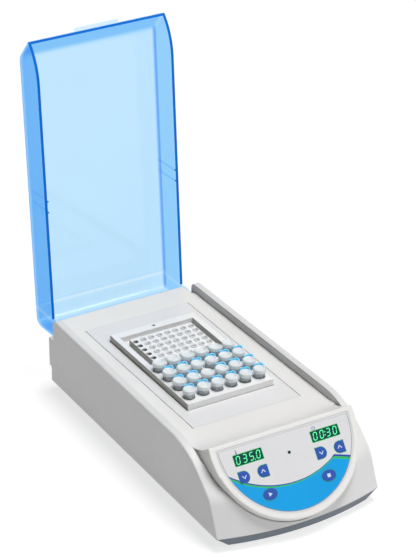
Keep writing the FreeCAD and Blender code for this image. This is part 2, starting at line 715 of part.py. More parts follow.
def pocket(body, sketch, name, depth):
    """A pocket down from its sketch, turned round if it would cut nothing."""
    doc.recompute()
    before = body.Shape.Volume
    hole = body.newObject("PartDesign::Pocket", name)
    hole.Profile = sketch
    hole.setExpression("Length", depth)
    body.Tip = hole
    doc.recompute()
    if before - body.Shape.Volume < 0.5:
        hole.Reversed = True
        doc.recompute()
    if before - body.Shape.Volume < 0.5:
        raise RuntimeError(f"{name} cuts nothing")
    return hole


def repeat(body, original, name, axis, length, count):
    """Copies of a feature along an axis of the body, with the last one at the given length."""
    pattern = body.newObject("PartDesign::LinearPattern", name)
    pattern.Originals = [original]
    pattern.Direction = (origin_part(body, axis), [""])
    pattern.setExpression("Length", length)
    pattern.Occurrences = count
    body.Tip = pattern
    doc.recompute()
    return pattern


# Well bezel, sample block and the warm parts under it
bezel = new_body("well_bezel")
outline = new_sketch(bezel, "BezelOutline", "XY_Plane", "Sizes.deck_height - Sizes.bezel_thick")
draw_rectangle(outline, "-Sizes.bezel_width / 2", "Sizes.bezel_width / 2",
               "Sizes.bezel_middle - Sizes.bezel_length / 2", "Sizes.bezel_middle + Sizes.bezel_length / 2")
draw_rectangle(outline, "-Sizes.block_width / 2 - Sizes.block_gap", "Sizes.block_width / 2 + Sizes.block_gap",
               "Sizes.bezel_middle - Sizes.block_length / 2 - Sizes.block_gap",
               "Sizes.bezel_middle + Sizes.block_length / 2 + Sizes.block_gap")
pad(bezel, outline, "BezelPad", "Sizes.bezel_thick")

block = new_body("sample_block")
foot = new_sketch(block, "BlockOutline", "XY_Plane", "Sizes.block_bottom")
front_edge = "Sizes.bezel_middle - Sizes.block_length / 2"
back_edge = "Sizes.bezel_middle + Sizes.block_length / 2"
draw_rectangle(foot, "-Sizes.block_width / 2", "Sizes.block_width / 2", front_edge, back_edge)
pad(block, foot, "BlockPad", "Sizes.deck_height + Sizes.block_proud - Sizes.block_bottom")
top_height = "Sizes.deck_height + Sizes.block_proud"
moat = new_sketch(block, "RecessOutline", "XY_Plane", top_height)
recess_back = f"{back_edge} - Sizes.recess_rim"
recess_front = f"{recess_back} - Sizes.recess_length"
array_back = f"{recess_front} + Sizes.array_length"
draw_outline(moat, [
    ("-Sizes.recess_width / 2", recess_front),
    ("-Sizes.array_width / 2", recess_front),
    ("-Sizes.array_width / 2", array_back),
    ("Sizes.array_width / 2", array_back),
    ("Sizes.array_width / 2", recess_front),
    ("Sizes.recess_width / 2", recess_front),
    ("Sizes.recess_width / 2", recess_back),
    ("-Sizes.recess_width / 2", recess_back),
])
pocket(block, moat, "Recess", "Sizes.recess_depth")
tube_row = new_sketch(block, "TubeHoleRow", "XY_Plane", top_height)
for column in range(6):
    draw_circle(tube_row, f"({column} - 2.5) * Sizes.tube_pitch", f"{front_edge} + Sizes.tube_first_row",
                "Sizes.tube_hole")
tube_holes = pocket(block, tube_row, "TubeHoles", "Sizes.tube_depth")
repeat(block, tube_holes, "TubeHoleRows", "Y_Axis", "3 * Sizes.tube_row_pitch", 4)
well_row = new_sketch(block, "SmallWellRow", "XY_Plane", top_height)
first_wells = f"{array_back} - Sizes.well_margin - 5 * Sizes.well_pitch"
for column in range(8):
    draw_circle(well_row, f"({column} - 3.5) * Sizes.well_pitch", first_wells, "Sizes.well_radius")
small_wells = pocket(block, well_row, "SmallWells", "Sizes.well_depth")
repeat(block, small_wells, "SmallWellRows", "Y_Axis", "5 * Sizes.well_pitch", 6)
lift_hole = new_sketch(block, "LiftHole", "XY_Plane", top_height)
draw_circle(lift_hole, "0", f"{back_edge} - 3.6", "Sizes.lift_hole_radius")
pocket(block, lift_hole, "LiftHolePocket", "12.0")


# Plain pieces built from primitives whose sizes and places come from the sheet
def tied_box(name, x0, x1, y0, y1, z0, z1):
    item = doc.addObject("Part::Box", name)
    item.setExpression("Length", f"({x1}) - ({x0})")
    item.setExpression("Width", f"({y1}) - ({y0})")
    item.setExpression("Height", f"({z1}) - ({z0})")
    item.setExpression("Placement.Base.x", x0)
    item.setExpression("Placement.Base.y", y0)
    item.setExpression("Placement.Base.z", z0)
    return item


def tied_rod(name, x, y, z, radius, height, along="z"):
    item = doc.addObject("Part::Cylinder", name)
    item.setExpression("Radius", radius)
    item.setExpression("Height", height)
    if along == "y":
        item.Placement = FreeCAD.Placement(V(0, 0, 0), FreeCAD.Rotation(V(1, 0, 0), -90))
    item.setExpression("Placement.Base.x", x)
    item.setExpression("Placement.Base.y", y)
    item.setExpression("Placement.Base.z", z)
    return item


def subtract(name, base, *tools):
    current = base
    for index, tool in enumerate(tools):
        last = index == len(tools) - 1
        cut = doc.addObject("Part::Cut", name if last else f"{name}_step{index}")
        cut.Base = current
        cut.Tool = tool
        current = cut
    return current


def joined(name, items):
    group = doc.addObject("Part::MultiFuse", name)
    group.Shapes = items
    return group


def grouped(name, items):
    group = doc.addObject("Part::Compound", name)
    group.Links = items
    return group


clear = "Sizes.well_clearance"
cavity = [f"-Sizes.block_width / 2 - {clear}", f"Sizes.block_width / 2 + {clear}",
          f"{front_edge} - {clear}", f"{back_edge} + {clear}"]
plate_low = "Sizes.block_bottom - Sizes.plate_thick"
mat_low = f"{plate_low} - Sizes.mat_thick"
plate_blank = tied_box("PlateBlank", "-Sizes.block_width / 2", "Sizes.block_width / 2", front_edge, back_edge,
                       plate_low, "Sizes.block_bottom")
sensor_height = f"{plate_low} + Sizes.plate_thick / 2"
bore = tied_rod("SensorBore", "0", f"{front_edge} - 1", sensor_height, "Sizes.sensor_radius + 0.05", "31.0", "y")
keep(subtract("heater_plate", plate_blank, bore), "heater_plate")
keep(tied_box("heating_mat", "-Sizes.block_width / 2 + 3", "Sizes.block_width / 2 - 3",
              f"{front_edge} + 3", f"{back_edge} - 3", mat_low, plate_low), "heating_mat")
keep(tied_rod("temperature_sensor", "0", f"{front_edge} - Sizes.insulation_wall - 8", sensor_height,
              "Sizes.sensor_radius", "Sizes.insulation_wall + 37", "y"), "temperature_sensor")
insulation_low = f"{mat_low} - Sizes.insulation_floor"
tub = tied_box("InsulationBlank", f"{cavity[0]} - Sizes.insulation_wall", f"{cavity[1]} + Sizes.insulation_wall",
               f"{cavity[2]} - Sizes.insulation_wall", f"{cavity[3]} + Sizes.insulation_wall",
               insulation_low, "Sizes.deck_height - Sizes.deck_wall")
hollow = tied_box("InsulationCavity", *cavity, mat_low, "Sizes.deck_height + 1")
passage = tied_rod("SensorPassage", "0", f"{cavity[2]} - Sizes.insulation_wall - 1", sensor_height,
                   "Sizes.sensor_radius + 0.05", "Sizes.insulation_wall + 2", "y")
seat = tied_rod("CutOutSeat", "0", "Sizes.cutout_y", f"{mat_low} - 8", "Sizes.cutout_radius + 0.1", "9")
keep(subtract("insulation_tub", tub, hollow, passage, seat), "insulation_tub")
keep(tied_rod("thermal_cut_out", "0", "Sizes.cutout_y", f"{mat_low} - 8", "Sizes.cutout_radius", "8"),
     "thermal_cut_out")
posts = []
for index, (x, y) in enumerate([(-1, -1), (1, -1), (-1, 1), (1, 1)]):
    posts.append(tied_rod(f"WellPost{index}", f"{x} * Sizes.well_post_x",
                          f"Sizes.bezel_middle + {y} * Sizes.well_post_y",
                          "Sizes.pan_bottom + Sizes.pan_wall", "Sizes.well_post_radius",
                          f"{insulation_low} - Sizes.pan_bottom - Sizes.pan_wall"))
keep(grouped("well_posts", posts), "well_posts")


# Tubes, each one moulding with its closed cap and strap
tube_places = [
    ((column - 2.5) * size("tube_pitch"), block_front + size("tube_first_row") + row * size("tube_row_pitch"))
    for row in range(4) for column in range(6)
]
tube_foot = block_top - size("tube_depth")
tube_mouth = block_top + size("tube_stand")


def revolved(points):
    """A solid turned about the Z axis from (radius, height) points."""
    wire = Part.makePolygon([V(r, 0, z) for r, z in points] + [V(points[0][0], 0, points[0][1])])
    return Part.Face(wire).revolve(V(0, 0, 0), V(0, 0, 1), 360)


def make_tube():
    outer = size("tube_radius")
    cap = size("cap_radius")
    top = tube_mouth + size("cap_height")
    shoulder = tube_foot + size("tube_cone")
    tube = revolved([
        (0, tube_foot), (1.8, tube_foot), (outer, shoulder), (outer, tube_mouth), (cap, tube_mouth),
        (cap, top), (0, top),
    ])
    # the strap that joins the cap to the tube, behind it
    strap = box(outer - 0.5, cap + 2.0, -2.2, 2.2, tube_mouth - 0.8, tube_mouth + 1.8)
    strap.rotate(V(0, 0, 0), V(0, 0, 1), 50)
    return tube.fuse(strap).removeSplitter()


def spread(shape, places):
    copies = []
    for x, y in places:
        copy = shape.copy()
        copy.translate(V(x, y, 0))
        copies.append(copy)
    return Part.Compound(copies)


feature("sample_tubes", spread(make_tube(), tube_places))


# Base pan, feet and screws
def pan_outline(inset_side, inset_front, inset_rear, z):
    """The plan of the housing's foot, drawn in by the insets, as one wire."""
    back = rear - size("rear_step_depth") - inset_rear
    radius = front_foot_radius - inset_front
    axis = size("bow_axis")
    slope = size("side_taper")
    base = size("half_width") - inset_side
    # the side line x = base - slope * y meets the front arc here
    a = 1 + slope * slope
    b = -2 * base * slope - 2 * axis
    c = base * base + axis * axis - radius * radius
    y = (-b - math.sqrt(b * b - 4 * a * c)) / (2 * a)
    x = base - slope * y
    top = base - slope * back
    edges = [
        Part.makeLine(V(x, y, z), V(top, back, z)),
        Part.makeLine(V(top, back, z), V(-top, back, z)),
        Part.makeLine(V(-top, back, z), V(-x, y, z)),
        Part.Arc(V(-x, y, z), V(0, axis - radius, z), V(x, y, z)).toShape(),
    ]
    return Part.Wire(Part.__sortEdges__(edges))


def front_foot():
    """Radius of the front's lowest edge about the bow axis."""
    brow, knuckle = size("brow_radius"), size("knuckle_radius")
    slope, skirt = math.radians(size("brow_angle")), math.radians(size("skirt_angle"))
    y, z = size("brow_start") - brow * math.sin(slope), rail_top - brow * (1 - math.cos(slope))
    y -= size("brow_flat") * math.cos(slope)
    z -= size("brow_flat") * math.sin(slope)
    y -= knuckle * (math.sin(skirt) - math.sin(slope))
    z -= knuckle * (math.cos(slope) - math.cos(skirt))
    return size("bow_axis") - (y - (z - bottom) / math.tan(skirt))


front_foot_radius = front_foot()


def pan_rim(inset, z):
    """The pan's upper outline, which lies along the rising bottom edge of the shell."""
    lift = foot_rise * (rear - size("bow_axis") + front_foot_radius)
    back_off = lift / math.tan(math.radians(size("skirt_angle")))
    wire = pan_outline(inset, inset + back_off, inset, z)
    wire.rotate(V(0, rear, bottom), V(1, 0, 0), -math.degrees(math.atan(foot_rise)))
    return wire


def make_base_pan():
    low, side, front = size("pan_bottom"), size("pan_side_inset"), size("pan_front_inset")
    thick = size("pan_wall")
    outer = Part.makeLoft([pan_rim(0.4, bottom), pan_outline(side, front, 5.0, low)], True, True)
    inner = Part.makeLoft([
        pan_rim(3.2, bottom + 0.01),
        pan_outline(side + 2.0, front + 2.0, 7.0, low + thick),
    ], True, True)
    pan = outer.cut(inner)
    for x in (-1, 1):
        for y in (-1, 1):
            hole = rod((x * boss_x, y * boss_y, 0), (0, 0, 1), screw_radius + 0.1, 12.0)
            seat = rod((x * size("foot_x"), y * size("foot_y"), 0), (0, 0, 1), 2.5, 12.0)
            pan = pan.cut(hole).cut(seat)
    # cooling slots between the feet
    slot_end = half_width(0, side) - 7.5
    for index in range(9):
        y = -32.0 + 8.0 * index
        for x in (-slot_end, slot_end - 4.0):
            pan = pan.cut(box(x, x + 4.0, y, y + 4.5, 0, 8))
    return pan


feature("base_pan", make_base_pan())
feet = []
for index, (x, y) in enumerate([(-1, -1), (1, -1), (-1, 1), (1, 1)]):
    pad_low = tied_rod(f"FootPad{index}", f"{x} * Sizes.foot_x", f"{y} * Sizes.foot_y", "0",
                       "Sizes.foot_radius", "Sizes.pan_bottom")
    stud = tied_rod(f"FootStud{index}", f"{x} * Sizes.foot_x", f"{y} * Sizes.foot_y", "Sizes.pan_bottom - 1",
                    "2.5", "Sizes.pan_wall + 2.5")
    feet.append(joined(f"Foot{index}", [pad_low, stud]))
keep(grouped("rubber_feet", feet), "rubber_feet")
base_screws = []
for x in (-1, 1):
    for y in (-1, 1):
        low = size("pan_bottom")
        head = rod((x * boss_x, y * boss_y, low - 2.0), (0, 0, 1), 3.0, 2.0)
        shank = rod((x * boss_x, y * boss_y, low), (0, 0, 1), screw_radius, 14.0)
        base_screws.append(head.fuse(shank))
feature("base_screws", Part.Compound(base_screws))


# Clear lid, drawn closed and then swung open about its hinge
def lid_section(inset, grow=0.0):
    """Side view of the closed lid, drawn in from its outer face by the inset."""
    top = deck_top + size("lid_rest_gap") + size("lid_depth")
    back = size("lid_rear") - inset
    corner = size("lid_corner") - inset
    brow, front = size("lid_brow"), size("lid_front")
    fall = size("lid_lip_drop")
    slope = math.atan2(fall, brow - front)
    # the inner face of the front slope lies square to the outer one
    brow_in = brow + inset * math.tan(slope / 2)
    roof = top - inset
    turn = size("lid_brow_radius") - inset
    tangent = turn * math.tan(slope / 2)
    lip = (front + inset / math.sin(slope) * 0.5, 0)
    lip_z = roof - (brow_in - lip[0]) * math.tan(slope)
    gap = size("lid_rest_gap")
    centre = (size("ramp_start"), deck_top + size("ramp_radius"))
    radius = size("ramp_radius") - gap + grow
    reach = centre[0] - lip[0]
    foot_z = centre[1] - math.sqrt(radius * radius - reach * reach)
    angle = math.degrees(math.asin(reach / radius))
    low = centre[1] - radius
    edges = [
        line((back, low), (back, roof - corner)),
        arc_between((back - corner, roof - corner), corner, 0, 90),
        line((back - corner, roof), (brow_in + tangent, roof)),
        arc_between((brow_in + tangent, roof - turn), turn, 90, 90 + math.degrees(slope)),
        line((brow_in - tangent * math.cos(slope), roof - tangent * math.sin(slope)), (lip[0], lip_z)),
        line((lip[0], lip_z), (lip[0], foot_z)),
        arc_between(centre, radius, -90 - angle, -90),
        line((centre[0], low), (back, low)),
    ]
    return Part.Face(Part.Wire(Part.__sortEdges__(edges)))


def make_lid():
    half, thick = size("lid_half_width"), size("lid_wall")
    outer = lid_section(0).extrude(V(2 * half, 0, 0))
    outer.translate(V(-half, 0, 0))
    top = deck_top + size("lid_rest_gap") + size("lid_depth")
    # round the long upper edges and the two front corners
    long_edges = []
    for edge in outer.Edges:
        centre = edge.CenterOfMass
        span = edge.BoundBox
        if abs(abs(centre.x) - half) < 0.01 and span.XLength < 0.01:
            if centre.z > top - 25 and span.ZMin > deck_top + 10 and centre.y < size("lid_rear") - 0.1:
                if span.YLength > 1.0:
                    long_edges.append(edge)
    outer = outer.makeFillet(3.0, long_edges)
    inner = lid_section(thick, 0.9).extrude(V(2 * (half - thick), 0, 0))
    inner.translate(V(-(half - thick), 0, 0))
    below = box(-(half - thick), half - thick, size("ramp_start") - 3, size("lid_rear") - thick,
                deck_top - 5, deck_top + 10)
    lid = outer.cut(inner).cut(below)
    # two ribs on each side wall
    rib_low, rib_high = deck_top + size("lid_rest_gap"), top - thick + 0.5
    for y in rib_places:
        for x in (-1, 1):
            face = half - thick
            rib = box(min(x * (face - 1.4), x * (face + 0.5)), max(x * (face - 1.4), x * (face + 0.5)),
                      y - 0.8, y + 0.8, rib_low, rib_high)
            lid = lid.fuse(rib)
    # finger tab at the front lip
    reach, tab = size("tab_reach"), size("tab_half_width")
    lip_z = top - size("lid_lip_drop")
    front = size("lid_front")
    tab_form = prism([
        (-tab, front + 4, lip_z + 1.6), (-tab, front - reach, lip_z - 0.4),
        (-tab, front - reach, lip_z - 2.6 + 0.6), (-tab, front + 1.0, lip_z - 1.0),
    ], (1, 0, 0), 2 * tab)
    lid = lid.fuse(tab_form)
    # an ear at each rear corner carries the hinge
    ear, axis_y = size("ear_radius"), size("hinge_y")
    for x in (-1, 1):
        start = x * (half - thick)
        lug = rod((start, axis_y, hinge_z), (x, 0, 0), ear, thick)
        web = box(min(start, x * half), max(start, x * half), axis_y - ear, size("lid_rear"),
                  hinge_z, deck_top + 3)
        web = web.common(box(-far, far, axis_y - ear, size("lid_rear"), 0, far))
        lid = lid.fuse(lug).fuse(web)
    for x in (-1, 1):
        lid = lid.cut(rod((x * (half - thick - 1), axis_y, hinge_z), (x, 0, 0),
                          size("hinge_screw_radius") + 0.05, thick + 2))
    return lid.removeSplitter()


rib_places = [26.0, 37.5]
swing = FreeCAD.Placement(V(0, 0, 0), FreeCAD.Rotation(V(1, 0, 0), -size("lid_open")),
                          V(0, size("hinge_y"), hinge_z))
feature("lid", make_lid(), swing)
hinge_screws = []
hinge_nuts = []
for x in (-1, 1):
    inner_end = size("slot_inner") - 6.5
    outer_end = size("lid_half_width") + 0.25
    start = (x * inner_end, size("hinge_y"), hinge_z)
    shank = rod(start, (x, 0, 0), size("hinge_screw_radius"), outer_end - inner_end)
    head = rod((x * outer_end, size("hinge_y"), hinge_z), (x, 0, 0), 3.4, 2.2)
    head = head.cut(box(*sorted((x * (outer_end + 1.4), x * (outer_end + 3))), size("hinge_y") - 4,
                        size("hinge_y") + 4, hinge_z - 0.45, hinge_z + 0.45))
    hinge_screws.append(shank.fuse(head))
    nut_start = size("slot_inner") - size("slot_wall")
    nut_size = size("nut_radius")
    corners = []
    for index in range(6):
        turn = math.radians(30 + 60 * index)
        corners.append((x * nut_start, size("hinge_y") + nut_size * math.cos(turn),
                        hinge_z + nut_size * math.sin(turn)))
    nut = prism(corners, (-x, 0, 0), size("nut_thick"))
    nut = nut.cut(rod((x * (nut_start - 4), size("hinge_y"), hinge_z), (x, 0, 0),
                      size("hinge_screw_radius") + 0.02, 6))
    hinge_nuts.append(nut)
feature("hinge_screws", Part.Compound(hinge_screws))
feature("hinge_nuts", Part.Compound(hinge_nuts))


# Fittings of the rear wall
def make_power_inlet():
    x, z = size("inlet_x"), size("rear_row_z")
    body = box(x - 13.9, x + 13.9, rear - 19.0, rear, z - 10.4, z + 10.4)
    flange = box(x - 15.8, x + 15.8, rear, rear + 2.2, z - 12.5, z + 12.5)
    inlet = body.fuse(flange)
    upright = [e for e in inlet.Edges if e.BoundBox.YLength > 2.1 and e.BoundBox.XLength < 0.01
               and e.BoundBox.ZLength < 0.01 and e.CenterOfMass.y > rear]
    inlet = inlet.makeFillet(2.0, upright)
    socket = prism([
        (x - 12.0, rear - 15.0, z - 8.2), (x + 12.0, rear - 15.0, z - 8.2), (x + 12.0, rear - 15.0, z + 4.4),
        (x + 8.2, rear - 15.0, z + 8.2), (x - 8.2, rear - 15.0, z + 8.2), (x - 12.0, rear - 15.0, z + 4.4),
    ], (0, 1, 0), 20.0)
    return inlet.cut(socket)


def make_inlet_pins():
    x, z = size("inlet_x"), size("rear_row_z")
    pins = []
    for shift, rise in ((-7.0, -0.8), (7.0, -0.8), (0.0, 3.8)):
        pins.append(box(x + shift - 1.0, x + shift + 1.0, rear - 15.0, rear - 1.5, z + rise - 2.0, z + rise + 2.0))
    return Part.Compound(pins)


def make_fuse_holder():
    profile = [(0, -14.0), (6.3, -14.0), (6.3, 0.0), (8.0, 0.0), (8.0, 1.8), (6.0, 1.8), (5.6, 4.0), (0, 4.0)]
    holder = revolved(profile)
    holder = holder.cut(box(-4.2, 4.2, -0.7, 0.7, 3.0, 5.0))
    holder.Placement = FreeCAD.Placement(V(size("fuse_x"), rear, size("rear_row_z")),
                                         FreeCAD.Rotation(V(1, 0, 0), -90))
    return holder


def make_probe_socket():
    socket = revolved([(0, -13.0), (4.4, -13.0), (4.4, 0.0), (6.5, 0.0), (6.5, 1.6), (1.75, 1.6),
                       (1.75, -9.0), (0, -9.0)])
    socket.Placement = FreeCAD.Placement(V(size("probe_x"), rear, size("rear_row_z")),
                                         FreeCAD.Rotation(V(1, 0, 0), -90))
    return socket


def make_rocker_frame():
    x, z = size("rocker_x"), size("rear_row_z")
    frame = box(x - 6.4, x + 6.4, rear - 15.0, rear, z - 9.65, z + 9.65)
    frame = frame.fuse(box(x - 7.6, x + 7.6, rear, rear + 1.5, z - 11.0, z + 11.0))
    frame = frame.cut(box(x - 5.4, x + 5.4, rear - 9.5, rear + 2.0, z - 9.0, z + 9.0))
    axle = rod((x - 6.2, rocker_pivot, z), (1, 0, 0), 1.25, 12.4)
    return frame.cut(axle)


def make_rocker():
    x, z = size("rocker_x"), size("rear_row_z")
    outline = [(-8.1, -1.0), (-8.1, 3.9), (0.0, 2.7), (8.1, 3.9), (8.1, -1.0), (0.0, -4.6)]
    points = [(x - 5.1, rocker_pivot + out, z + up) for up, out in outline]
    rocker = prism(points, (1, 0, 0), 10.2)
    axle = rod((x - 6.1, rocker_pivot, z), (1, 0, 0), 1.2, 12.2)
    rocker = rocker.fuse(axle)
    rocker.rotate(V(x, rocker_pivot, z), V(1, 0, 0), -size("rocker_swing") / 2)
    return rocker


rocker_pivot = rear - 2.0
feature("power_inlet", make_power_inlet())
feature("inlet_pins", make_inlet_pins())
feature("fuse_holder", make_fuse_holder())
feature("probe_socket", make_probe_socket())
feature("mains_switch_frame", make_rocker_frame())
feature("mains_switch_rocker", make_rocker())

# Power board on four standoffs behind the warm parts
board_low = size("power_board_low")
board_top = board_low + size("board_thick")
board_x, board_y = size("power_board_x"), size("power_board_y")
board_half, board_reach = size("power_board_width") / 2, size("power_board_length") / 2
rim = size("power_board_rim")
power_board = box(board_x - board_half, board_x + board_half, board_y - board_reach, board_y + board_reach,
                  board_low, board_top)
standoffs = []
board_fixings = []
for shift, reach in ((-1, -1), (1, -1), (-1, 1), (1, 1)):
    x = board_x + shift * (board_half - rim)
    y = board_y + reach * (board_reach - rim)
    power_board = power_board.cut(rod((x, y, board_low - 1), (0, 0, 1), 1.6, size("board_thick") + 2))
    tall = rod((x, y, pan_floor), (0, 0, 1), 3.0, board_low - pan_floor)
    standoffs.append(tall.cut(rod((x, y, board_low - 7.0), (0, 0, 1), 1.55, 8.0)))
    screw = rod((x, y, board_top), (0, 0, 1), 2.8, 1.8)
    board_fixings.append(screw.fuse(rod((x, y, board_low - 6.5), (0, 0, 1), 1.5, 6.5 + size("board_thick"))))
feature("power_board", power_board)
feature("board_standoffs", Part.Compound(standoffs))
feature("board_screws", Part.Compound(board_fixings))


def on_board(x0, x1, reach, height):
    """A block on the power board, measured from the board's middle."""
    return box(board_x + x0, board_x + x1, board_y - reach, board_y + reach, board_top, board_top + height)


transformer = on_board(-26.0, -2.0, 11.0, 15.0)
relay = on_board(6.0, 21.0, 9.5, 12.0)
terminals = on_board(26.0, 31.0, 9.0, 9.0)
capacitor = rod((board_x - 32.5, board_y, board_top), (0, 0, 1), 4.5, 13.0)
feature("board_components", Part.Compound([transformer, relay, terminals, capacitor]))

# Every finished piece goes from the foot centre into the part's frame
for piece in pieces:
    own = repr(piece.Placement.Base.y)
    for path, expression in piece.ExpressionEngine:
        if path.endswith("Placement.Base.y"):
            own = expression
    piece.setExpression("Placement.Base.y", f"({own}) - Sizes.frame_y")
doc.recompute()
for item in doc.Objects:
    states = set(item.State)
    if "Invalid" in states or "Error" in states:
        raise RuntimeError(f"{item.Name} did not build")
os.makedirs("parts", exist_ok=True)
for piece in pieces:
    shape = piece.Shape
    if shape.isNull() or not shape.isValid():
        raise RuntimeError(f"{piece.Label} has no sound shape")
    shape.exportStep(f"parts/{piece.Label}.step")
    print(piece.Label, round(shape.Volume, 1), len(shape.Solids))
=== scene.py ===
import math

import bpy
from mathutils import Matrix, Vector


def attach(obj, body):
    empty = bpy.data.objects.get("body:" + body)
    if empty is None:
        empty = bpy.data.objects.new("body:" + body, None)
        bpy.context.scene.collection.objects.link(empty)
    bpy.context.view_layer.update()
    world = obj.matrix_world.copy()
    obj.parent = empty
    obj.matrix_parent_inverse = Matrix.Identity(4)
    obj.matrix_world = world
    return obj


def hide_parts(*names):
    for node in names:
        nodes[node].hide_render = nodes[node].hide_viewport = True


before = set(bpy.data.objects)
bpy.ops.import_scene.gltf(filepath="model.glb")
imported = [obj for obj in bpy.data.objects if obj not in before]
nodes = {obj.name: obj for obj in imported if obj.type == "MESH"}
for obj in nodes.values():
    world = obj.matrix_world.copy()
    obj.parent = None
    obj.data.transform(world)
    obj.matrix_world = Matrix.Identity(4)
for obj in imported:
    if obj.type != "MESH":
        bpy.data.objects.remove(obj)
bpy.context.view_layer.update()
MM = 0.001

# The panel in millimetres: x to the right of the middle line, s down the face from its upper edge
DISPLAY_X, DISPLAY_S = 41.3, 18.1
INNER_KEY_X, OUTER_KEY_X, ARROW_KEY_S = 31.4, 51.2, 34.2
RUN_KEY_X, RUN_KEY_S = 31.6, 56.1
RUN_RING_X, RUN_RING_S = 7.35, 5.25
PRINT_H = 0.03
INK_OVER_H = 0.035
KEY_TOP_H = 0.53

# The tubes and small wells, in millimetres along X and Y
TUBE_PITCH, TUBE_ROW_PITCH, TUBE_FRONT = 15.45, 19.5, -56.25
TUBE_LOW = 48.5
WELL_PITCH, WELL_BACK = 9.0, 61.45

# The lid's hinge, in metres, and how far it stands open, in degrees
PIVOT = Vector((0.0, 0.1429, 0.0625))
LID_OPEN = 93.5

# The camera that was fitted to the photograph
CAMERA_AZIMUTH, CAMERA_ELEVATION = -30.304, 28.015
CAMERA_PLACE = Vector((-1.04109, -1.80642, 1.27983))


# Colours are given as they look on screen and turned to linear light here
def lin(r, g, b):
    out = []
    for v in (r, g, b):
        c = v / 255.0
        out.append(c / 12.92 if c <= 0.04045 else ((c + 0.055) / 1.055) ** 2.4)
    return (*out, 1.0)


class Graph:
    """A small helper to build a material's nodes."""

    def __init__(self, name):
        self.mat = bpy.data.materials.new(name)
        self.mat.use_nodes = True
        self.tree = self.mat.node_tree
        self.tree.nodes.clear()
        self.out = self.tree.nodes.new("ShaderNodeOutputMaterial")
        self.coord = None

    def node(self, kind, **values):
        n = self.tree.nodes.new(kind)
        for key, value in values.items():
            setattr(n, key, value)
        return n

    def join(self, a, b):
        self.tree.links.new(a, b)

    def set(self, socket, value):
        if hasattr(value, "links") or isinstance(value, bpy.types.NodeSocket):
            self.join(value, socket)
        else:
            socket.default_value = value

    def place(self):
        if self.coord is None:
            self.coord = self.node("ShaderNodeTexCoord").outputs["Object"]
        return self.coord

    def math(self, op, a, b=0.0):
        n = self.node("ShaderNodeMath", operation=op)
        self.set(n.inputs[0], a)
        self.set(n.inputs[1], b)
        return n.outputs[0]

    def noise(self, scale, detail=3.0, rough=0.55, stretch=None, seed=0.0):
        n = self.node("ShaderNodeTexNoise")
        vector = self.place()
        m = self.node("ShaderNodeMapping")
        self.join(vector, m.inputs["Vector"])
        m.inputs["Location"].default_value = (seed, seed * 0.7, -seed)
        if stretch is not None:
            m.inputs["Scale"].default_value = stretch
        self.join(m.outputs[0], n.inputs["Vector"])
        n.inputs["Scale"].default_value = scale
        n.inputs["Detail"].default_value = detail
        n.inputs["Roughness"].default_value = rough
        return n.outputs["Fac"]

    def ramp(self, fac, lo, hi, a, b):
        """Maps fac between lo and hi to a colour between a and b."""
        t = self.node("ShaderNodeMapRange")
        self.set(t.inputs["Value"], fac)
        t.inputs["From Min"].default_value = lo
        t.inputs["From Max"].default_value = hi
        m = self.node("ShaderNodeMix", data_type="RGBA")
        self.join(t.outputs[0], m.inputs["Factor"])
        self.set(m.inputs["A"], a)
        self.set(m.inputs["B"], b)
        return m.outputs["Result"]

    def value(self, fac, lo, hi, a, b):
        t = self.node("ShaderNodeMapRange")
        self.set(t.inputs["Value"], fac)
        t.inputs["From Min"].default_value = lo
        t.inputs["From Max"].default_value = hi
        t.inputs["To Min"].default_value = a
        t.inputs["To Max"].default_value = b
        return t.outputs[0]

    def mix(self, fac, a, b):
        m = self.node("ShaderNodeMix", data_type="RGBA")
        self.set(m.inputs["Factor"], fac)
        self.set(m.inputs["A"], a)
        self.set(m.inputs["B"], b)
        return m.outputs["Result"]

    def bump(self, height, strength, distance, normal=None):
        b = self.node("ShaderNodeBump")
        b.inputs["Strength"].default_value = strength
        b.inputs["Distance"].default_value = distance
        self.join(height, b.inputs["Height"])
        if normal is not None:
            self.join(normal, b.inputs["Normal"])
        return b.outputs[0]

    def bevel(self, radius, samples=6):
        b = self.node("ShaderNodeBevel", samples=samples)
        b.inputs["Radius"].default_value = radius
        return b.outputs[0]

    def principled(self, color, rough=0.4, metal=0.0, normal=None, **extra):
        p = self.node("ShaderNodeBsdfPrincipled")
        self.set(p.inputs["Base Color"], color)
        self.set(p.inputs["Roughness"], rough)
        self.set(p.inputs["Metallic"], metal)
        if normal is not None:
            self.join(normal, p.inputs["Normal"])
        for key, value in extra.items():
            self.set(p.inputs[key.replace("_", " ")], value)
        self.join(p.outputs[0], self.out.inputs["Surface"])
        return p


def plastic(name, color, rough=0.38, grain=0.00003, edge=0.0009, spread=0.02, speck=900.0, ior=1.46):
    g = Graph(name)
    dark = tuple(c * (1 - spread) for c in color[:3]) + (1.0,)
    light = tuple(min(1.0, c * (1 + spread)) for c in color[:3]) + (1.0,)
    base = g.ramp(g.noise(14.0, 4.0), 0.3, 0.7, dark, light)
    fine = g.noise(speck, 2.0, seed=3.1)
    normal = g.bump(fine, 0.35, grain, g.bevel(edge))
    shine = g.value(g.noise(60.0, 3.0, seed=7.7), 0.3, 0.7, rough - 0.04, rough + 0.05)
    g.principled(base, shine, 0.0, normal, IOR=ior)
    return g.mat


def metal(name, color, rough=0.3, scale=400.0, depth=0.00004, spread=0.05):
    g = Graph(name)
    dark = tuple(c * (1 - spread) for c in color[:3]) + (1.0,)
    light = tuple(min(1.0, c * (1 + spread)) for c in color[:3]) + (1.0,)
    grain = g.noise(scale, 4.0, 0.6)
    base = g.ramp(grain, 0.35, 0.65, dark, light)
    normal = g.bump(grain, 0.3, depth, g.bevel(0.0004))
    shine = g.value(g.noise(35.0, 3.0, seed=2.0), 0.3, 0.7, rough - 0.05, rough + 0.08)
    g.principled(base, shine, 1.0, normal)
    return g.mat


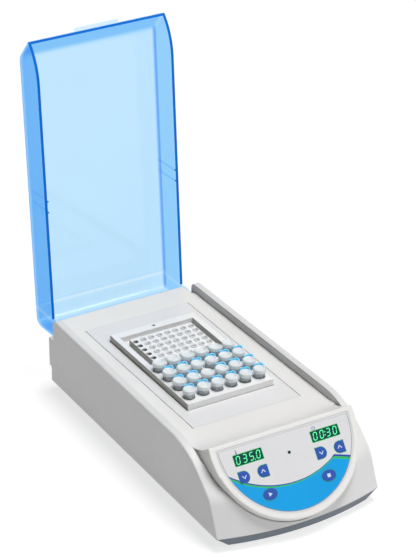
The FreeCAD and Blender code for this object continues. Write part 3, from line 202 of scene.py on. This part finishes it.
housing = plastic("housing_enamel", lin(212, 212, 212), rough=0.42)
deck = plastic("deck_moulding", lin(221, 220, 218), rough=0.36)
bezel = plastic("bezel_moulding", lin(216, 216, 217), rough=0.34, edge=0.0005)
dark_part = plastic("black_moulding", lin(38, 38, 41), rough=0.45, speck=1400.0)
module = plastic("module_black", lin(24, 26, 28), rough=0.3)
pan = plastic("pan_coat", lin(98, 108, 118), rough=0.5, speck=1600.0, grain=0.00006)
rubber = plastic("foot_rubber", lin(34, 34, 36), rough=0.75, speck=1200.0, grain=0.00008)
foam = plastic("insulation_board", lin(226, 220, 205), rough=0.9, speck=700.0, grain=0.0002, spread=0.05)
mat_red = plastic("silicone_mat", lin(178, 92, 58), rough=0.6, speck=500.0)
board = plastic("solder_mask", lin(24, 104, 52), rough=0.35, speck=500.0)
steel = metal("zinc_plate", lin(196, 198, 202), rough=0.32)
pins = metal("plated_pins", lin(214, 190, 128), rough=0.25)


def milled_block(name, top, side):
    """Bright milled top and front faces with darker brushed sides. The brushed grain is the block's finish;
    the darker tone of the sides is painted shade.
    """
    g = Graph(name)
    grain = g.noise(500.0, 4.0, 0.6, (1.0, 0.08, 1.0))
    brush = g.noise(700.0, 4.0, 0.6, (0.06, 0.06, 1.0), seed=4.0)
    face = g.node("ShaderNodeSeparateXYZ")
    g.join(g.node("ShaderNodeNewGeometry").outputs["Normal"], face.inputs[0])
    lit_face_share = g.value(face.outputs[2], 0.55, 0.85, 0.0, 1.0)
    # painted light: front-facing faces take the bright top colour as if lit, and the other sides keep a
    # darker colour as painted shade
    front = g.value(face.outputs[1], -0.9, -0.6, 1.0, 0.0)
    lit_face_share = g.math("MAXIMUM", lit_face_share, front)
    milled_and_lit = g.ramp(grain, 0.35, 0.65, tuple(c * 0.97 for c in top[:3]) + (1.0,), top)
    brushed_and_shaded = g.ramp(brush, 0.35, 0.65, tuple(c * 0.75 for c in side[:3]) + (1.0,), side)
    base = g.mix(lit_face_share, brushed_and_shaded, milled_and_lit)
    normal = g.bump(grain, 0.25, 0.00004, g.bevel(0.0004))
    g.principled(base, g.value(brush, 0.3, 0.7, 0.38, 0.5), g.value(lit_face_share, 0.0, 1.0, 0.6, 0.15), normal)
    return g.mat


alu = milled_block("machined_block", lin(232, 232, 232), lin(168, 168, 163))
plate = metal("heater_plate_metal", lin(226, 227, 229), rough=0.42, scale=900.0, depth=0.00005, spread=0.03)


def give(mat, *names):
    for name in names:
        mesh = nodes[name].data
        mesh.materials.clear()
        mesh.materials.append(mat)
        for polygon in mesh.polygons:
            polygon.material_index = 0


give(housing, "outer_shell")
give(deck, "deck_cover")
give(bezel, "well_bezel")
give(dark_part, "key_switches", "thermal_cut_out", "power_inlet", "fuse_holder", "probe_socket",
     "mains_switch_frame", "mains_switch_rocker", "board_components")
give(module, "display_temperature_module", "display_time_module")
give(pan, "base_pan")
give(rubber, "rubber_feet")
give(foam, "insulation_tub", "well_posts")
give(mat_red, "heating_mat")
give(board, "control_board", "power_board")
give(steel, "control_board_screws", "temperature_sensor", "base_screws", "hinge_screws", "hinge_nuts",
     "board_screws")
give(pins, "inlet_pins", "board_standoffs")
give(alu, "sample_block")
give(plate, "heater_plate")

# The pod face: x to the right, s down from its upper edge, h out of the face, in millimetres
EDGE = Vector((0.0, -157.2, 89.48))
TILT = math.radians(52.5)
UP = Vector((0.0, math.cos(TILT), math.sin(TILT)))
OUT = Vector((0.0, -math.sin(TILT), math.cos(TILT)))


def on_face(x, s, h=0.0):
    return (EDGE + Vector((x, 0, 0)) - UP * s + OUT * h) * MM


def add(name, verts, faces, body, mat, smooth=False):
    mesh = bpy.data.meshes.new(name)
    mesh.from_pydata([tuple(v) for v in verts], [], faces)
    mesh.validate()
    mesh.update()
    mesh.materials.append(mat)
    if smooth:
        for p in mesh.polygons:
            p.use_smooth = True
    obj = bpy.data.objects.new(name, mesh)
    bpy.context.scene.collection.objects.link(obj)
    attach(obj, body)
    return obj


# Panel overlay: a printed film, drawn from the face coordinates
def overlay_material():
    g = Graph("panel_print")
    p = g.place()
    flat = g.node("ShaderNodeVectorMath", operation="SUBTRACT")
    g.join(p, flat.inputs[0])
    flat.inputs[1].default_value = tuple(EDGE * MM)
    across = g.node("ShaderNodeSeparateXYZ")
    g.join(flat.outputs[0], across.inputs[0])
    down = g.node("ShaderNodeVectorMath", operation="DOT_PRODUCT")
    g.join(flat.outputs[0], down.inputs[0])
    down.inputs[1].default_value = tuple(-UP * 1000.0)
    x = g.math("MULTIPLY", across.outputs[0], 1000.0)
    s = down.outputs["Value"]

    def radius(cx, cs):
        dx = g.math("SUBTRACT", x, cx)
        ds = g.math("SUBTRACT", s, cs)
        return g.math("SQRT", g.math("ADD", g.math("MULTIPLY", dx, dx), g.math("MULTIPLY", ds, ds)))

    def band(value, lo, hi, soft=0.12):
        a = g.value(value, lo - soft, lo + soft, 0.0, 1.0)
        b = g.value(value, hi - soft, hi + soft, 1.0, 0.0)
        return g.math("MULTIPLY", a, b)

    grey = g.ramp(g.noise(30.0, 3.0), 0.3, 0.7, lin(214, 214, 216), lin(218, 218, 220))
    # a field under a sweeping edge, with a green and a blue stripe along it
    run = g.math("ADD", x, 5.0)
    arc = g.math("SQRT", g.math("SUBTRACT", 10000.0, g.math("MULTIPLY", run, run)))
    arc = g.math("SUBTRACT", arc, 46.4)
    cap = g.math("ADD", g.math("MULTIPLY", x, 0.33), 28.7)
    depth = g.math("SUBTRACT", s, g.math("MAXIMUM", arc, cap))
    stripe = g.math("ADD", g.value(x, -67.0, 12.0, 1.6, 0.7), g.value(x, 40.0, 44.0, 0.0, 1.3))
    share = g.math("DIVIDE", depth, stripe)
    cyan = g.ramp(g.noise(22.0, 3.0, seed=1.0), 0.3, 0.7, lin(0, 152, 219), lin(0, 157, 224))
    color = g.mix(g.value(depth, -0.1, 0.1, 0.0, 1.0), grey, cyan)
    color = g.mix(band(share, -1.0, 0.0, 0.08), color, lin(24, 190, 62))
    color = g.mix(band(share, -2.1, -1.0, 0.08), color, lin(42, 76, 162))
    # a pale rim, then a thin grey line round the film
    rim = radius(0.0, 9.2)
    color = g.mix(g.value(rim, 69.5, 69.9, 0.0, 1.0), color, lin(214, 215, 216))
    color = g.mix(band(rim, 69.0, 69.55, 0.1), color, lin(120, 124, 132))
    color = g.mix(band(s, 6.2, 6.55, 0.1), color, lin(165, 168, 175))
    color = g.mix(g.value(s, 6.1, 6.2, 1.0, 0.0), color, lin(216, 217, 218))
    fine = g.noise(1200.0, 2.0, seed=5.0)
    g.principled(color, 0.33, 0.0, g.bump(fine, 0.3, 0.00002, g.bevel(0.0003)), IOR=1.2)
    return g.mat


give(overlay_material(), "panel_overlay")

window = plastic("window_tint", lin(0, 62, 58), rough=0.2, grain=0.00001, ior=1.15)
give(window, "display_temperature_window", "display_time_window")


def glowing(name, color, strength):
    g = Graph(name)
    tint = g.ramp(g.noise(500.0, 2.0), 0.3, 0.7, tuple(c * 0.92 for c in color[:3]) + (1.0,), color)
    base = g.mix(0.5, tint, (0.0, 0.0, 0.0, 1.0))
    p = g.principled(base, 0.5, IOR=1.15)
    g.join(tint, p.inputs["Emission Color"])
    p.inputs["Emission Strength"].default_value = strength
    return g.mat


digit_green = glowing("digit_light", lin(96, 250, 168), 0.8)
# painted glow: the printed green frame round each window is given emission, though it is print and no lamp
printed_frame_glow = glowing("window_frame", lin(40, 176, 84), 0.5)
lamp_mat = plastic("lamp_lens", lin(8, 58, 52), rough=0.2, edge=0.0003, ior=1.15)
give(lamp_mat, "indicator_lamp")

SEGMENTS = {
    "0": "abcdef", "1": "bc", "2": "abged", "3": "abgcd", "4": "fgbc", "5": "afgcd",
    "6": "afgedc", "7": "abc", "8": "abcdefg", "9": "abcdfg",
}


def seven_segment(name, cx, cs, text):
    """Four slanted digits with a dot or a colon, laid on the window."""
    verts, faces = [], []
    wide, tall, bar, lean = 3.5, 6.9, 0.85, 0.16
    gap = 0.14

    def quad(points):
        base = len(verts)
        for px, ps in points:
            verts.append(on_face(cx + px - (ps - tall / 2) * lean, cs + ps - tall / 2, 0.02))
        faces.append(tuple(range(base, base + len(points))))

    def flat(x0, x1, s):
        b = bar / 2
        quad([(x0 + gap, s), (x0 + gap + b, s + b), (x1 - gap - b, s + b), (x1 - gap, s),
              (x1 - gap - b, s - b), (x0 + gap + b, s - b)])

    def upright(x, s0, s1):
        b = bar / 2
        quad([(x, s0 + gap), (x - b, s0 + gap + b), (x - b, s1 - gap - b), (x, s1 - gap),
              (x + b, s1 - gap - b), (x + b, s0 + gap + b)])

    pitch = 7.1
    for index, char in enumerate(text.replace(".", "").replace(":", "")):
        left = (index - 1.5) * pitch - wide / 2
        right = left + wide
        for segment in SEGMENTS[char]:
            if segment == "a":
                flat(left, right, 0.0)
            if segment == "g":
                flat(left, right, tall / 2)
            if segment == "d":
                flat(left, right, tall)
            if segment == "f":
                upright(left, 0.0, tall / 2)
            if segment == "e":
                upright(left, tall / 2, tall)
            if segment == "b":
                upright(right, 0.0, tall / 2)
            if segment == "c":
                upright(right, tall / 2, tall)
    if "." in text:
        x = 1.0 * pitch - 0.1
        quad([(x - 0.55, tall - 0.3), (x - 0.55, tall + 0.6), (x + 0.45, tall + 0.6),
              (x + 0.45, tall - 0.3)])
    if ":" in text:
        for s in (tall * 0.3, tall * 0.7):
            quad([(-0.5, s - 0.5), (-0.5, s + 0.5), (0.5, s + 0.5), (0.5, s - 0.5)])
    return add(name, verts, faces, "housing", digit_green)


seven_segment("digits_temperature", -DISPLAY_X, DISPLAY_S, "035.0")
seven_segment("digits_time", DISPLAY_X, DISPLAY_S, "00:30")


def outline_strip(name, points, width, h, mat, body):
    """A closed flat ring round an outline on the pod face, drawn outwards by a width."""
    count = len(points)
    verts, faces = [], []
    for i in range(count):
        a, b, c = points[i - 1], points[i], points[(i + 1) % count]
        d1 = Vector((b[0] - a[0], b[1] - a[1])).normalized()
        d2 = Vector((c[0] - b[0], c[1] - b[1])).normalized()
        n = Vector((d1.y + d2.y, -d1.x - d2.x))
        n = n.normalized() / max(0.5, math.sqrt(max(0.0, (1 + d1.dot(d2)) / 2)))
        verts.append(on_face(b[0], b[1], h))
        verts.append(on_face(b[0] + n.x * width, b[1] + n.y * width, h))
    for i in range(count):
        j = (i + 1) % count
        faces.append((2 * i, 2 * i + 1, 2 * j + 1, 2 * j))
    return add(name, verts, faces, body, mat)


def rounded_box(cx, cs, w, t, radii, steps=6):
    """Corner order: upper left, upper right, lower right, lower left. Clockwise as seen."""
    points = []
    corners = [(-1, -1, 180), (1, -1, 270), (1, 1, 0), (-1, 1, 90)]
    for (sx, ss, start), r in zip(corners, radii):
        ox, os_ = cx + sx * (w / 2 - r), cs + ss * (t / 2 - r)
        for k in range(steps + 1):
            a = math.radians(start + 90 * k / steps)
            points.append((ox + r * math.cos(a), os_ + r * math.sin(a)))
    return points


for name, x in (("temperature", -DISPLAY_X), ("time", DISPLAY_X)):
    outline_strip(f"window_frame_{name}", rounded_box(x, DISPLAY_S, 29.4, 9.6, (0.6,) * 4), 0.7, PRINT_H,
                  printed_frame_glow, "housing")

# Keys
key_blue = plastic("key_cap_blue", lin(44, 82, 168), rough=0.35, grain=0.00002, edge=0.0006, ior=1.2)
key_names = ["key_temperature_down", "key_temperature_up", "key_time_down", "key_time_up", "key_start",
             "key_stop"]
give(key_blue, *key_names)
# painted glow: the printed marks on the keys and the green rings round them are given emission, though they
# are print
mark = glowing("key_mark_painted_glow", lin(206, 220, 240), 0.55)
printed_outline_glow = glowing("key_outline_painted_glow", lin(60, 168, 120), 0.5)


def stroke(name, points, width, h, body, mat=None):
    """A flat line of a given width along points on the pod face."""
    verts, faces = [], []
    for i, (px, ps) in enumerate(points):
        a = points[max(0, i - 1)]
        c = points[min(len(points) - 1, i + 1)]
        if 0 < i < len(points) - 1:
            d1 = Vector((px - a[0], ps - a[1])).normalized()
            d2 = Vector((c[0] - px, c[1] - ps)).normalized()
            n = Vector((-(d1.y + d2.y), d1.x + d2.x)).normalized()
            n = n / max(0.4, math.sqrt((1 + d1.dot(d2)) / 2))
        else:
            d = Vector((c[0] - a[0], c[1] - a[1])).normalized()
            n = Vector((-d.y, d.x))
        verts.append(on_face(px + n.x * width / 2, ps + n.y * width / 2, h))
        verts.append(on_face(px - n.x * width / 2, ps - n.y * width / 2, h))
    for i in range(len(points) - 1):
        faces.append((2 * i, 2 * i + 1, 2 * i + 3, 2 * i + 2))
    return add(name, verts, faces, body, mat or mark)


def circle(x, s, wide, tall, degrees):
    """Points of a round or oval outline about a middle on the pod face."""
    return [(x + wide * math.cos(math.radians(a)), s + tall * math.sin(math.radians(a))) for a in degrees]


def d_outline(x, s, flat_side, half=5.3, steps=14):
    """The outline of an arrow key: straight on its flat side and half a circle on the other."""
    points = [(x + flat_side * half, s - flat_side * half), (x + flat_side * half, s + flat_side * half)]
    start = -90 if flat_side < 0 else 90
    return points + circle(x, s, half, half, range(start, start + 181, 180 // steps))


def key_ring(name, points):
    outline_strip("outline_" + name, points, 0.6, PRINT_H, printed_outline_glow, "housing")


def key_sign(name, x, points):
    """A filled sign on the top of a key, from points about the key's middle."""
    verts = [on_face(x + a, RUN_KEY_S + b, KEY_TOP_H) for a, b in points]
    add("mark_" + name, verts, [tuple(range(len(verts)))], name, mark)


for name, x, flat_side, way in (
    ("key_temperature_down", -OUTER_KEY_X, -1, 1), ("key_temperature_up", -INNER_KEY_X, 1, -1),
    ("key_time_down", INNER_KEY_X, -1, 1), ("key_time_up", OUTER_KEY_X, 1, -1),
):
    key_ring(name, d_outline(x, ARROW_KEY_S, flat_side))
    arms, tip = ARROW_KEY_S - 1.2 * way, ARROW_KEY_S + 1.4 * way
    stroke("mark_" + name, [(x - 2.1, arms), (x, tip), (x + 2.1, arms)], 0.8, KEY_TOP_H, name)
for name, x in (("key_start", -RUN_KEY_X), ("key_stop", RUN_KEY_X)):
    key_ring(name, circle(x, RUN_KEY_S, RUN_RING_X, RUN_RING_S, range(0, 360, 10)))
key_sign("key_start", -RUN_KEY_X, ((-1.4, -2.0), (2.2, 0.0), (-1.4, 2.0)))
key_sign("key_stop", RUN_KEY_X, ((-1.7, -1.7), (1.7, -1.7), (1.7, 1.7), (-1.7, 1.7)))

# Small signs over the displays: a thermometer and a clock
# painted glow: the blue print of the signs is given emission
printed_ink_glow = glowing("print_blue_painted_glow", lin(96, 118, 186), 0.5)
stroke("sign_thermometer", [(-52.0, 8.4), (-52.0, 11.6)], 0.8, PRINT_H, "housing", printed_ink_glow)
bulb = [on_face(a, b, INK_OVER_H) for a, b in circle(-52.0, 12.0, 0.9, 0.9, range(0, 360, 30))]
add("sign_bulb", bulb, [tuple(range(len(bulb)))], "housing", printed_ink_glow)
dial = circle(31.0, 10.6, 1.5, 1.5, range(0, 360, 24))
outline_strip("sign_clock", dial, 0.45, PRINT_H, printed_ink_glow, "housing")
stroke("sign_hands", [(31.0, 9.5), (31.0, 10.6), (31.9, 11.1)], 0.4, INK_OVER_H, "housing", printed_ink_glow)


# Tubes and caps
def lathe(profile, steps):
    """(radius, height) pairs turned about Z, closed at both ends where the radius is 0."""
    verts, faces, rings = [], [], []
    for r, z in profile:
        if r < 1e-6:
            rings.append([len(verts)])
            verts.append(Vector((0, 0, z)))
        else:
            ring = []
            for k in range(steps):
                a = 2 * math.pi * k / steps
                ring.append(len(verts))
                verts.append(Vector((r * math.cos(a), r * math.sin(a), z)))
            rings.append(ring)
    for a, b in zip(rings, rings[1:]):
        for k in range(steps):
            n = (k + 1) % steps
            if len(a) == 1 and len(b) == 1:
                continue
            if len(a) == 1:
                faces.append((a[0], b[n], b[k]))
            elif len(b) == 1:
                faces.append((a[k], a[n], b[0]))
            else:
                faces.append((a[k], a[n], b[n], b[k]))
    return verts, faces


def many(name, verts, faces, places, body, mat):
    """One object with a copy of a form at each place."""
    all_v, all_f = [], []
    for x, y in places:
        base = len(all_v)
        all_v += [(v + Vector((x, y, 0))) * MM for v in verts]
        all_f += [tuple(i + base for i in f) for f in faces]
    return add(name, all_v, all_f, body, mat, smooth=True)


places = [((c - 2.5) * TUBE_PITCH, TUBE_FRONT + r * TUBE_ROW_PITCH) for r in range(4) for c in range(6)]


def clear_plastic(name, color, alpha, rough=0.25, glow=0.0):
    g = Graph(name)
    tint = g.ramp(g.noise(120.0, 3.0), 0.3, 0.7, tuple(c * 0.95 for c in color[:3]) + (1.0,), color)
    p = g.principled(tint, g.value(g.noise(90.0), 0.3, 0.7, rough - 0.05, rough + 0.08))
    g.set(p.inputs["Alpha"], alpha)
    g.set(p.inputs["Subsurface Weight"], 0.3)
    p.inputs["Subsurface Radius"].default_value = (0.004, 0.004, 0.004)
    # painted glow: a glow, where given, stands in for light passing through the plastic
    g.join(tint, p.inputs["Emission Color"])
    p.inputs["Emission Strength"].default_value = glow
    return g.mat


tube_mat = clear_plastic("tube_plastic", lin(205, 212, 216), 0.5)
# painted glow on the caps and on their blue hinge straps
cap_glow_mat = clear_plastic("cap_plastic_painted_glow", lin(226, 232, 234), 0.8, glow=0.08)
hinge_glow_mat = clear_plastic("cap_hinge_blue_painted_glow", lin(112, 205, 242), 0.85, glow=0.22)
v, f = lathe([(0, TUBE_LOW + 0.1), (1.5, TUBE_LOW + 0.1), (1.8, TUBE_LOW + 0.5), (5.35, 63.0),
              (5.4, 64.0), (5.4, 84.6), (5.75, 84.8), (5.75, 85.5), (4.7, 85.6), (4.6, 63.2), (1.1, 49.8),
              (0, 49.5)], 28)
tubes = many("tube_bodies", v, f, places, "sample_tubes", tube_mat)
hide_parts("sample_tubes")
v, f = lathe([(0, 82.4), (4.4, 82.4), (4.55, 82.7), (4.55, 85.72), (6.1, 85.75), (6.4, 86.1), (6.4, 88.3),
              (6.15, 89.1), (5.6, 89.6), (5.1, 89.85), (4.7, 89.8), (4.4, 89.2), (3.0, 89.05), (1.0, 89.2),
              (0, 89.3)], 32)
many("tube_cap_tops", v, f, places, "sample_tubes", cap_glow_mat)
strap = [
    (-1.6, 6.5, 86.8), (5.4, 6.5, 86.8), (6.7, 5.6, 86.2), (7.0, 2.8, 83.8),
    (-1.6, 7.9, 86.8), (6.2, 7.9, 86.8), (8.1, 6.3, 86.2), (8.2, 2.8, 83.8),
    (-1.6, 6.5, 90.2), (5.4, 6.5, 90.2), (6.7, 5.6, 89.4), (7.0, 2.8, 86.8),
    (-1.6, 7.9, 90.2), (6.2, 7.9, 90.2), (8.1, 6.3, 89.4), (8.2, 2.8, 86.8),
]
strap_faces = [(0, 4, 12, 8), (3, 11, 15, 7)]
for k in range(3):
    strap_faces += [(k, k + 1, k + 5, k + 4), (k + 8, k + 12, k + 13, k + 9), (k, k + 8, k + 9, k + 1),
                    (k + 4, k + 5, k + 13, k + 12)]
strapped = [p for i, p in enumerate(places) if i < 18 and i != 8]
hinges = many("tube_cap_straps", [Vector(p) for p in strap], strap_faces, strapped, "sample_tubes",
              hinge_glow_mat)
for polygon in hinges.data.polygons:
    polygon.use_smooth = False

# Small clear tubes in all but the first column of small wells
small_places = [((c - 3.5) * WELL_PITCH, WELL_BACK - r * WELL_PITCH) for r in range(6) for c in range(1, 8)]
v, f = lathe([(0, 72.0), (2.3, 72.0), (2.55, 79.6), (2.6, 80.6), (3.35, 80.65), (3.4, 81.3), (2.9, 81.45),
              (2.2, 81.4), (2.05, 80.4), (1.3, 76.5), (0, 76.2)], 20)
# painted glow: the small tubes are given a faint emission
small_tube_glow_mat = clear_plastic("small_tube_plastic_painted_glow", lin(222, 224, 226), 0.8, glow=0.05)
many("small_tubes", v, f, small_places, "sample_block", small_tube_glow_mat)


# Lid: one clear blue moulding that takes its colour from the depth of plastic seen through, with painted
# shade on its long outer corners, a painted highlight along the foot of the panel and a painted glow on its
# cut edges
shut = Matrix.Rotation(math.radians(LID_OPEN), 3, "X")


def lid_material():
    g = Graph("lid_acrylic")
    fine = g.noise(25.0, 2.0)
    soft = g.bump(fine, 0.04, 0.0002)
    gloss = g.node("ShaderNodeBsdfGlossy")
    gloss.inputs["Roughness"].default_value = 0.08
    g.join(soft, gloss.inputs["Normal"])
    facing = g.node("ShaderNodeLayerWeight")
    facing.inputs["Blend"].default_value = 0.5
    clear = g.node("ShaderNodeBsdfTransparent")
    rim = g.value(facing.outputs["Facing"], 0.72, 0.98, 0.0, 1.0)
    # painted shade: the long outer corners are tinted a deeper blue, as they look when seen along their
    # length. Across is the distance from the middle line, and height is measured up from the bench with the
    # lid closed
    spot = g.node("ShaderNodeSeparateXYZ")
    g.join(g.place(), spot.inputs[0])
    across = g.math("ABSOLUTE", spot.outputs[0])
    turned = g.node("ShaderNodeVectorMath", operation="DOT_PRODUCT")
    g.join(g.place(), turned.inputs[0])
    turned.inputs[1].default_value = tuple(shut[2])
    height = g.math("ADD", turned.outputs["Value"], PIVOT.z - shut[2].dot(PIVOT))
    painted_corner_shade = g.math("MULTIPLY", g.value(height, 0.1085, 0.1105, 0.0, 1.0),
                    g.value(across, 0.0722, 0.0742, 0.0, 1.0))
    rim = g.math("MAXIMUM", rim, g.math("MULTIPLY", painted_corner_shade, 0.7))
    g.join(g.mix(rim, (1.0, 1.0, 1.0, 1.0), (0.1, 0.4, 0.93, 1.0)), clear.inputs["Color"])
    share = g.math("ADD", g.math("MULTIPLY", g.math("POWER", facing.outputs["Facing"], 4.0), 0.14), 0.03)
    mixed = g.node("ShaderNodeMixShader")
    g.join(share, mixed.inputs["Fac"])
    g.join(clear.outputs[0], mixed.inputs[1])
    g.join(gloss.outputs[0], mixed.inputs[2])
    # painted highlight: an emissive pale band along the foot of the panel, where its corner gathers light
    rise = g.math("MULTIPLY", g.value(spot.outputs[2], 0.0690, 0.0705, 0.0, 1.0),
                  g.value(spot.outputs[2], 0.0725, 0.0740, 1.0, 0.0))
    inner = g.math("MULTIPLY", rise, g.value(across, 0.0690, 0.0710, 0.42, 0.15))
    painted_highlight = g.node("ShaderNodeEmission")
    painted_highlight.inputs["Color"].default_value = lin(232, 245, 255)
    painted_highlight.inputs["Strength"].default_value = 1.0
    painted_streak = g.node("ShaderNodeMixShader")
    g.join(inner, painted_streak.inputs["Fac"])
    g.join(mixed.outputs[0], painted_streak.inputs[1])
    g.join(painted_highlight.outputs[0], painted_streak.inputs[2])
    g.join(painted_streak.outputs[0], g.out.inputs["Surface"])
    tint = g.node("ShaderNodeVolumeAbsorption")
    tint.inputs["Color"].default_value = (0.1, 0.65, 0.967, 1.0)
    tint.inputs["Density"].default_value = 210.0
    g.join(tint.outputs[0], g.out.inputs["Volume"])
    return g.mat


give(lid_material(), "lid")
nodes["lid"].visible_shadow = False
# painted glow: the cut edge of the moulding is made emissive in a deeper blue, standing in for the light it
# gathers
painted_edge_glow = glowing("lid_edge_painted_glow", lin(8, 118, 226), 0.4)
lid_mesh = nodes["lid"].data
lid_mesh.materials.append(painted_edge_glow)
for polygon in lid_mesh.polygons:
    middle = shut @ (polygon.center - PIVOT) + PIVOT
    normal = shut @ polygon.normal
    side = normal.z < -0.85 and 0.073 < middle.z < 0.1035 and -0.152 < middle.y < 0.118
    lip = normal.z < -0.5 and normal.y < -0.4 and middle.y < -0.150
    if side or lip:
        polygon.material_index = 1

# Floor, lights and camera
floor_graph = Graph("floor_paper")
floor_color = floor_graph.ramp(floor_graph.noise(3.0, 2.0), 0.3, 0.7, (0.28, 0.28, 0.28, 1),
                               (0.30, 0.30, 0.30, 1))
floor_shader = floor_graph.principled(floor_color, 0.8, 0.0, None, Specular_IOR_Level=0.0)
floor_shader.inputs["Emission Color"].default_value = (1, 1, 1, 1)
floor_shader.inputs["Emission Strength"].default_value = 0.73
bpy.ops.mesh.primitive_plane_add(size=12.0, location=(0.8, 1.6, -0.0002))
floor = bpy.context.object
floor.name = "floor"
floor.data.materials.append(floor_graph.mat)


def sun(name, way, strength, spread):
    data = bpy.data.lights.new(name, "SUN")
    data.energy = strength
    data.angle = math.radians(spread)
    lamp = bpy.data.objects.new(name, data)
    lamp.rotation_euler = (-Vector(way)).to_track_quat("-Z", "Y").to_euler()
    bpy.context.scene.collection.objects.link(lamp)
    return lamp


sun("top_light", (0.16, -0.04, 1.0), 2.7, 24.0)
sun("front_light", (0.30, -0.8, 0.75), 1.0, 30.0)
world = bpy.data.worlds.new("studio")
bpy.context.scene.world = world
world.use_nodes = True
world.node_tree.nodes["Background"].inputs["Color"].default_value = (1, 1, 1, 1)
world.node_tree.nodes["Background"].inputs["Strength"].default_value = 1.0
world.cycles_visibility.diffuse = False

azimuth, elevation = math.radians(CAMERA_AZIMUTH), math.radians(CAMERA_ELEVATION)
back = Vector((math.sin(azimuth) * math.cos(elevation), -math.cos(azimuth) * math.cos(elevation),
               math.sin(elevation)))
right = Vector((math.cos(azimuth), math.sin(azimuth), 0.0))
up = back.cross(right)
turn = Matrix((right, up, back)).transposed().to_4x4()
camera_data = bpy.data.cameras.new("camera")
camera_data.lens = 160.87
camera_data.sensor_width = 36.0
camera_data.clip_end = 30.0
camera = bpy.data.objects.new("camera", camera_data)
camera.matrix_world = Matrix.Translation(CAMERA_PLACE) @ turn
bpy.context.scene.collection.objects.link(camera)
bpy.context.scene.camera = camera
bpy.context.scene.view_settings.view_transform = "Standard"
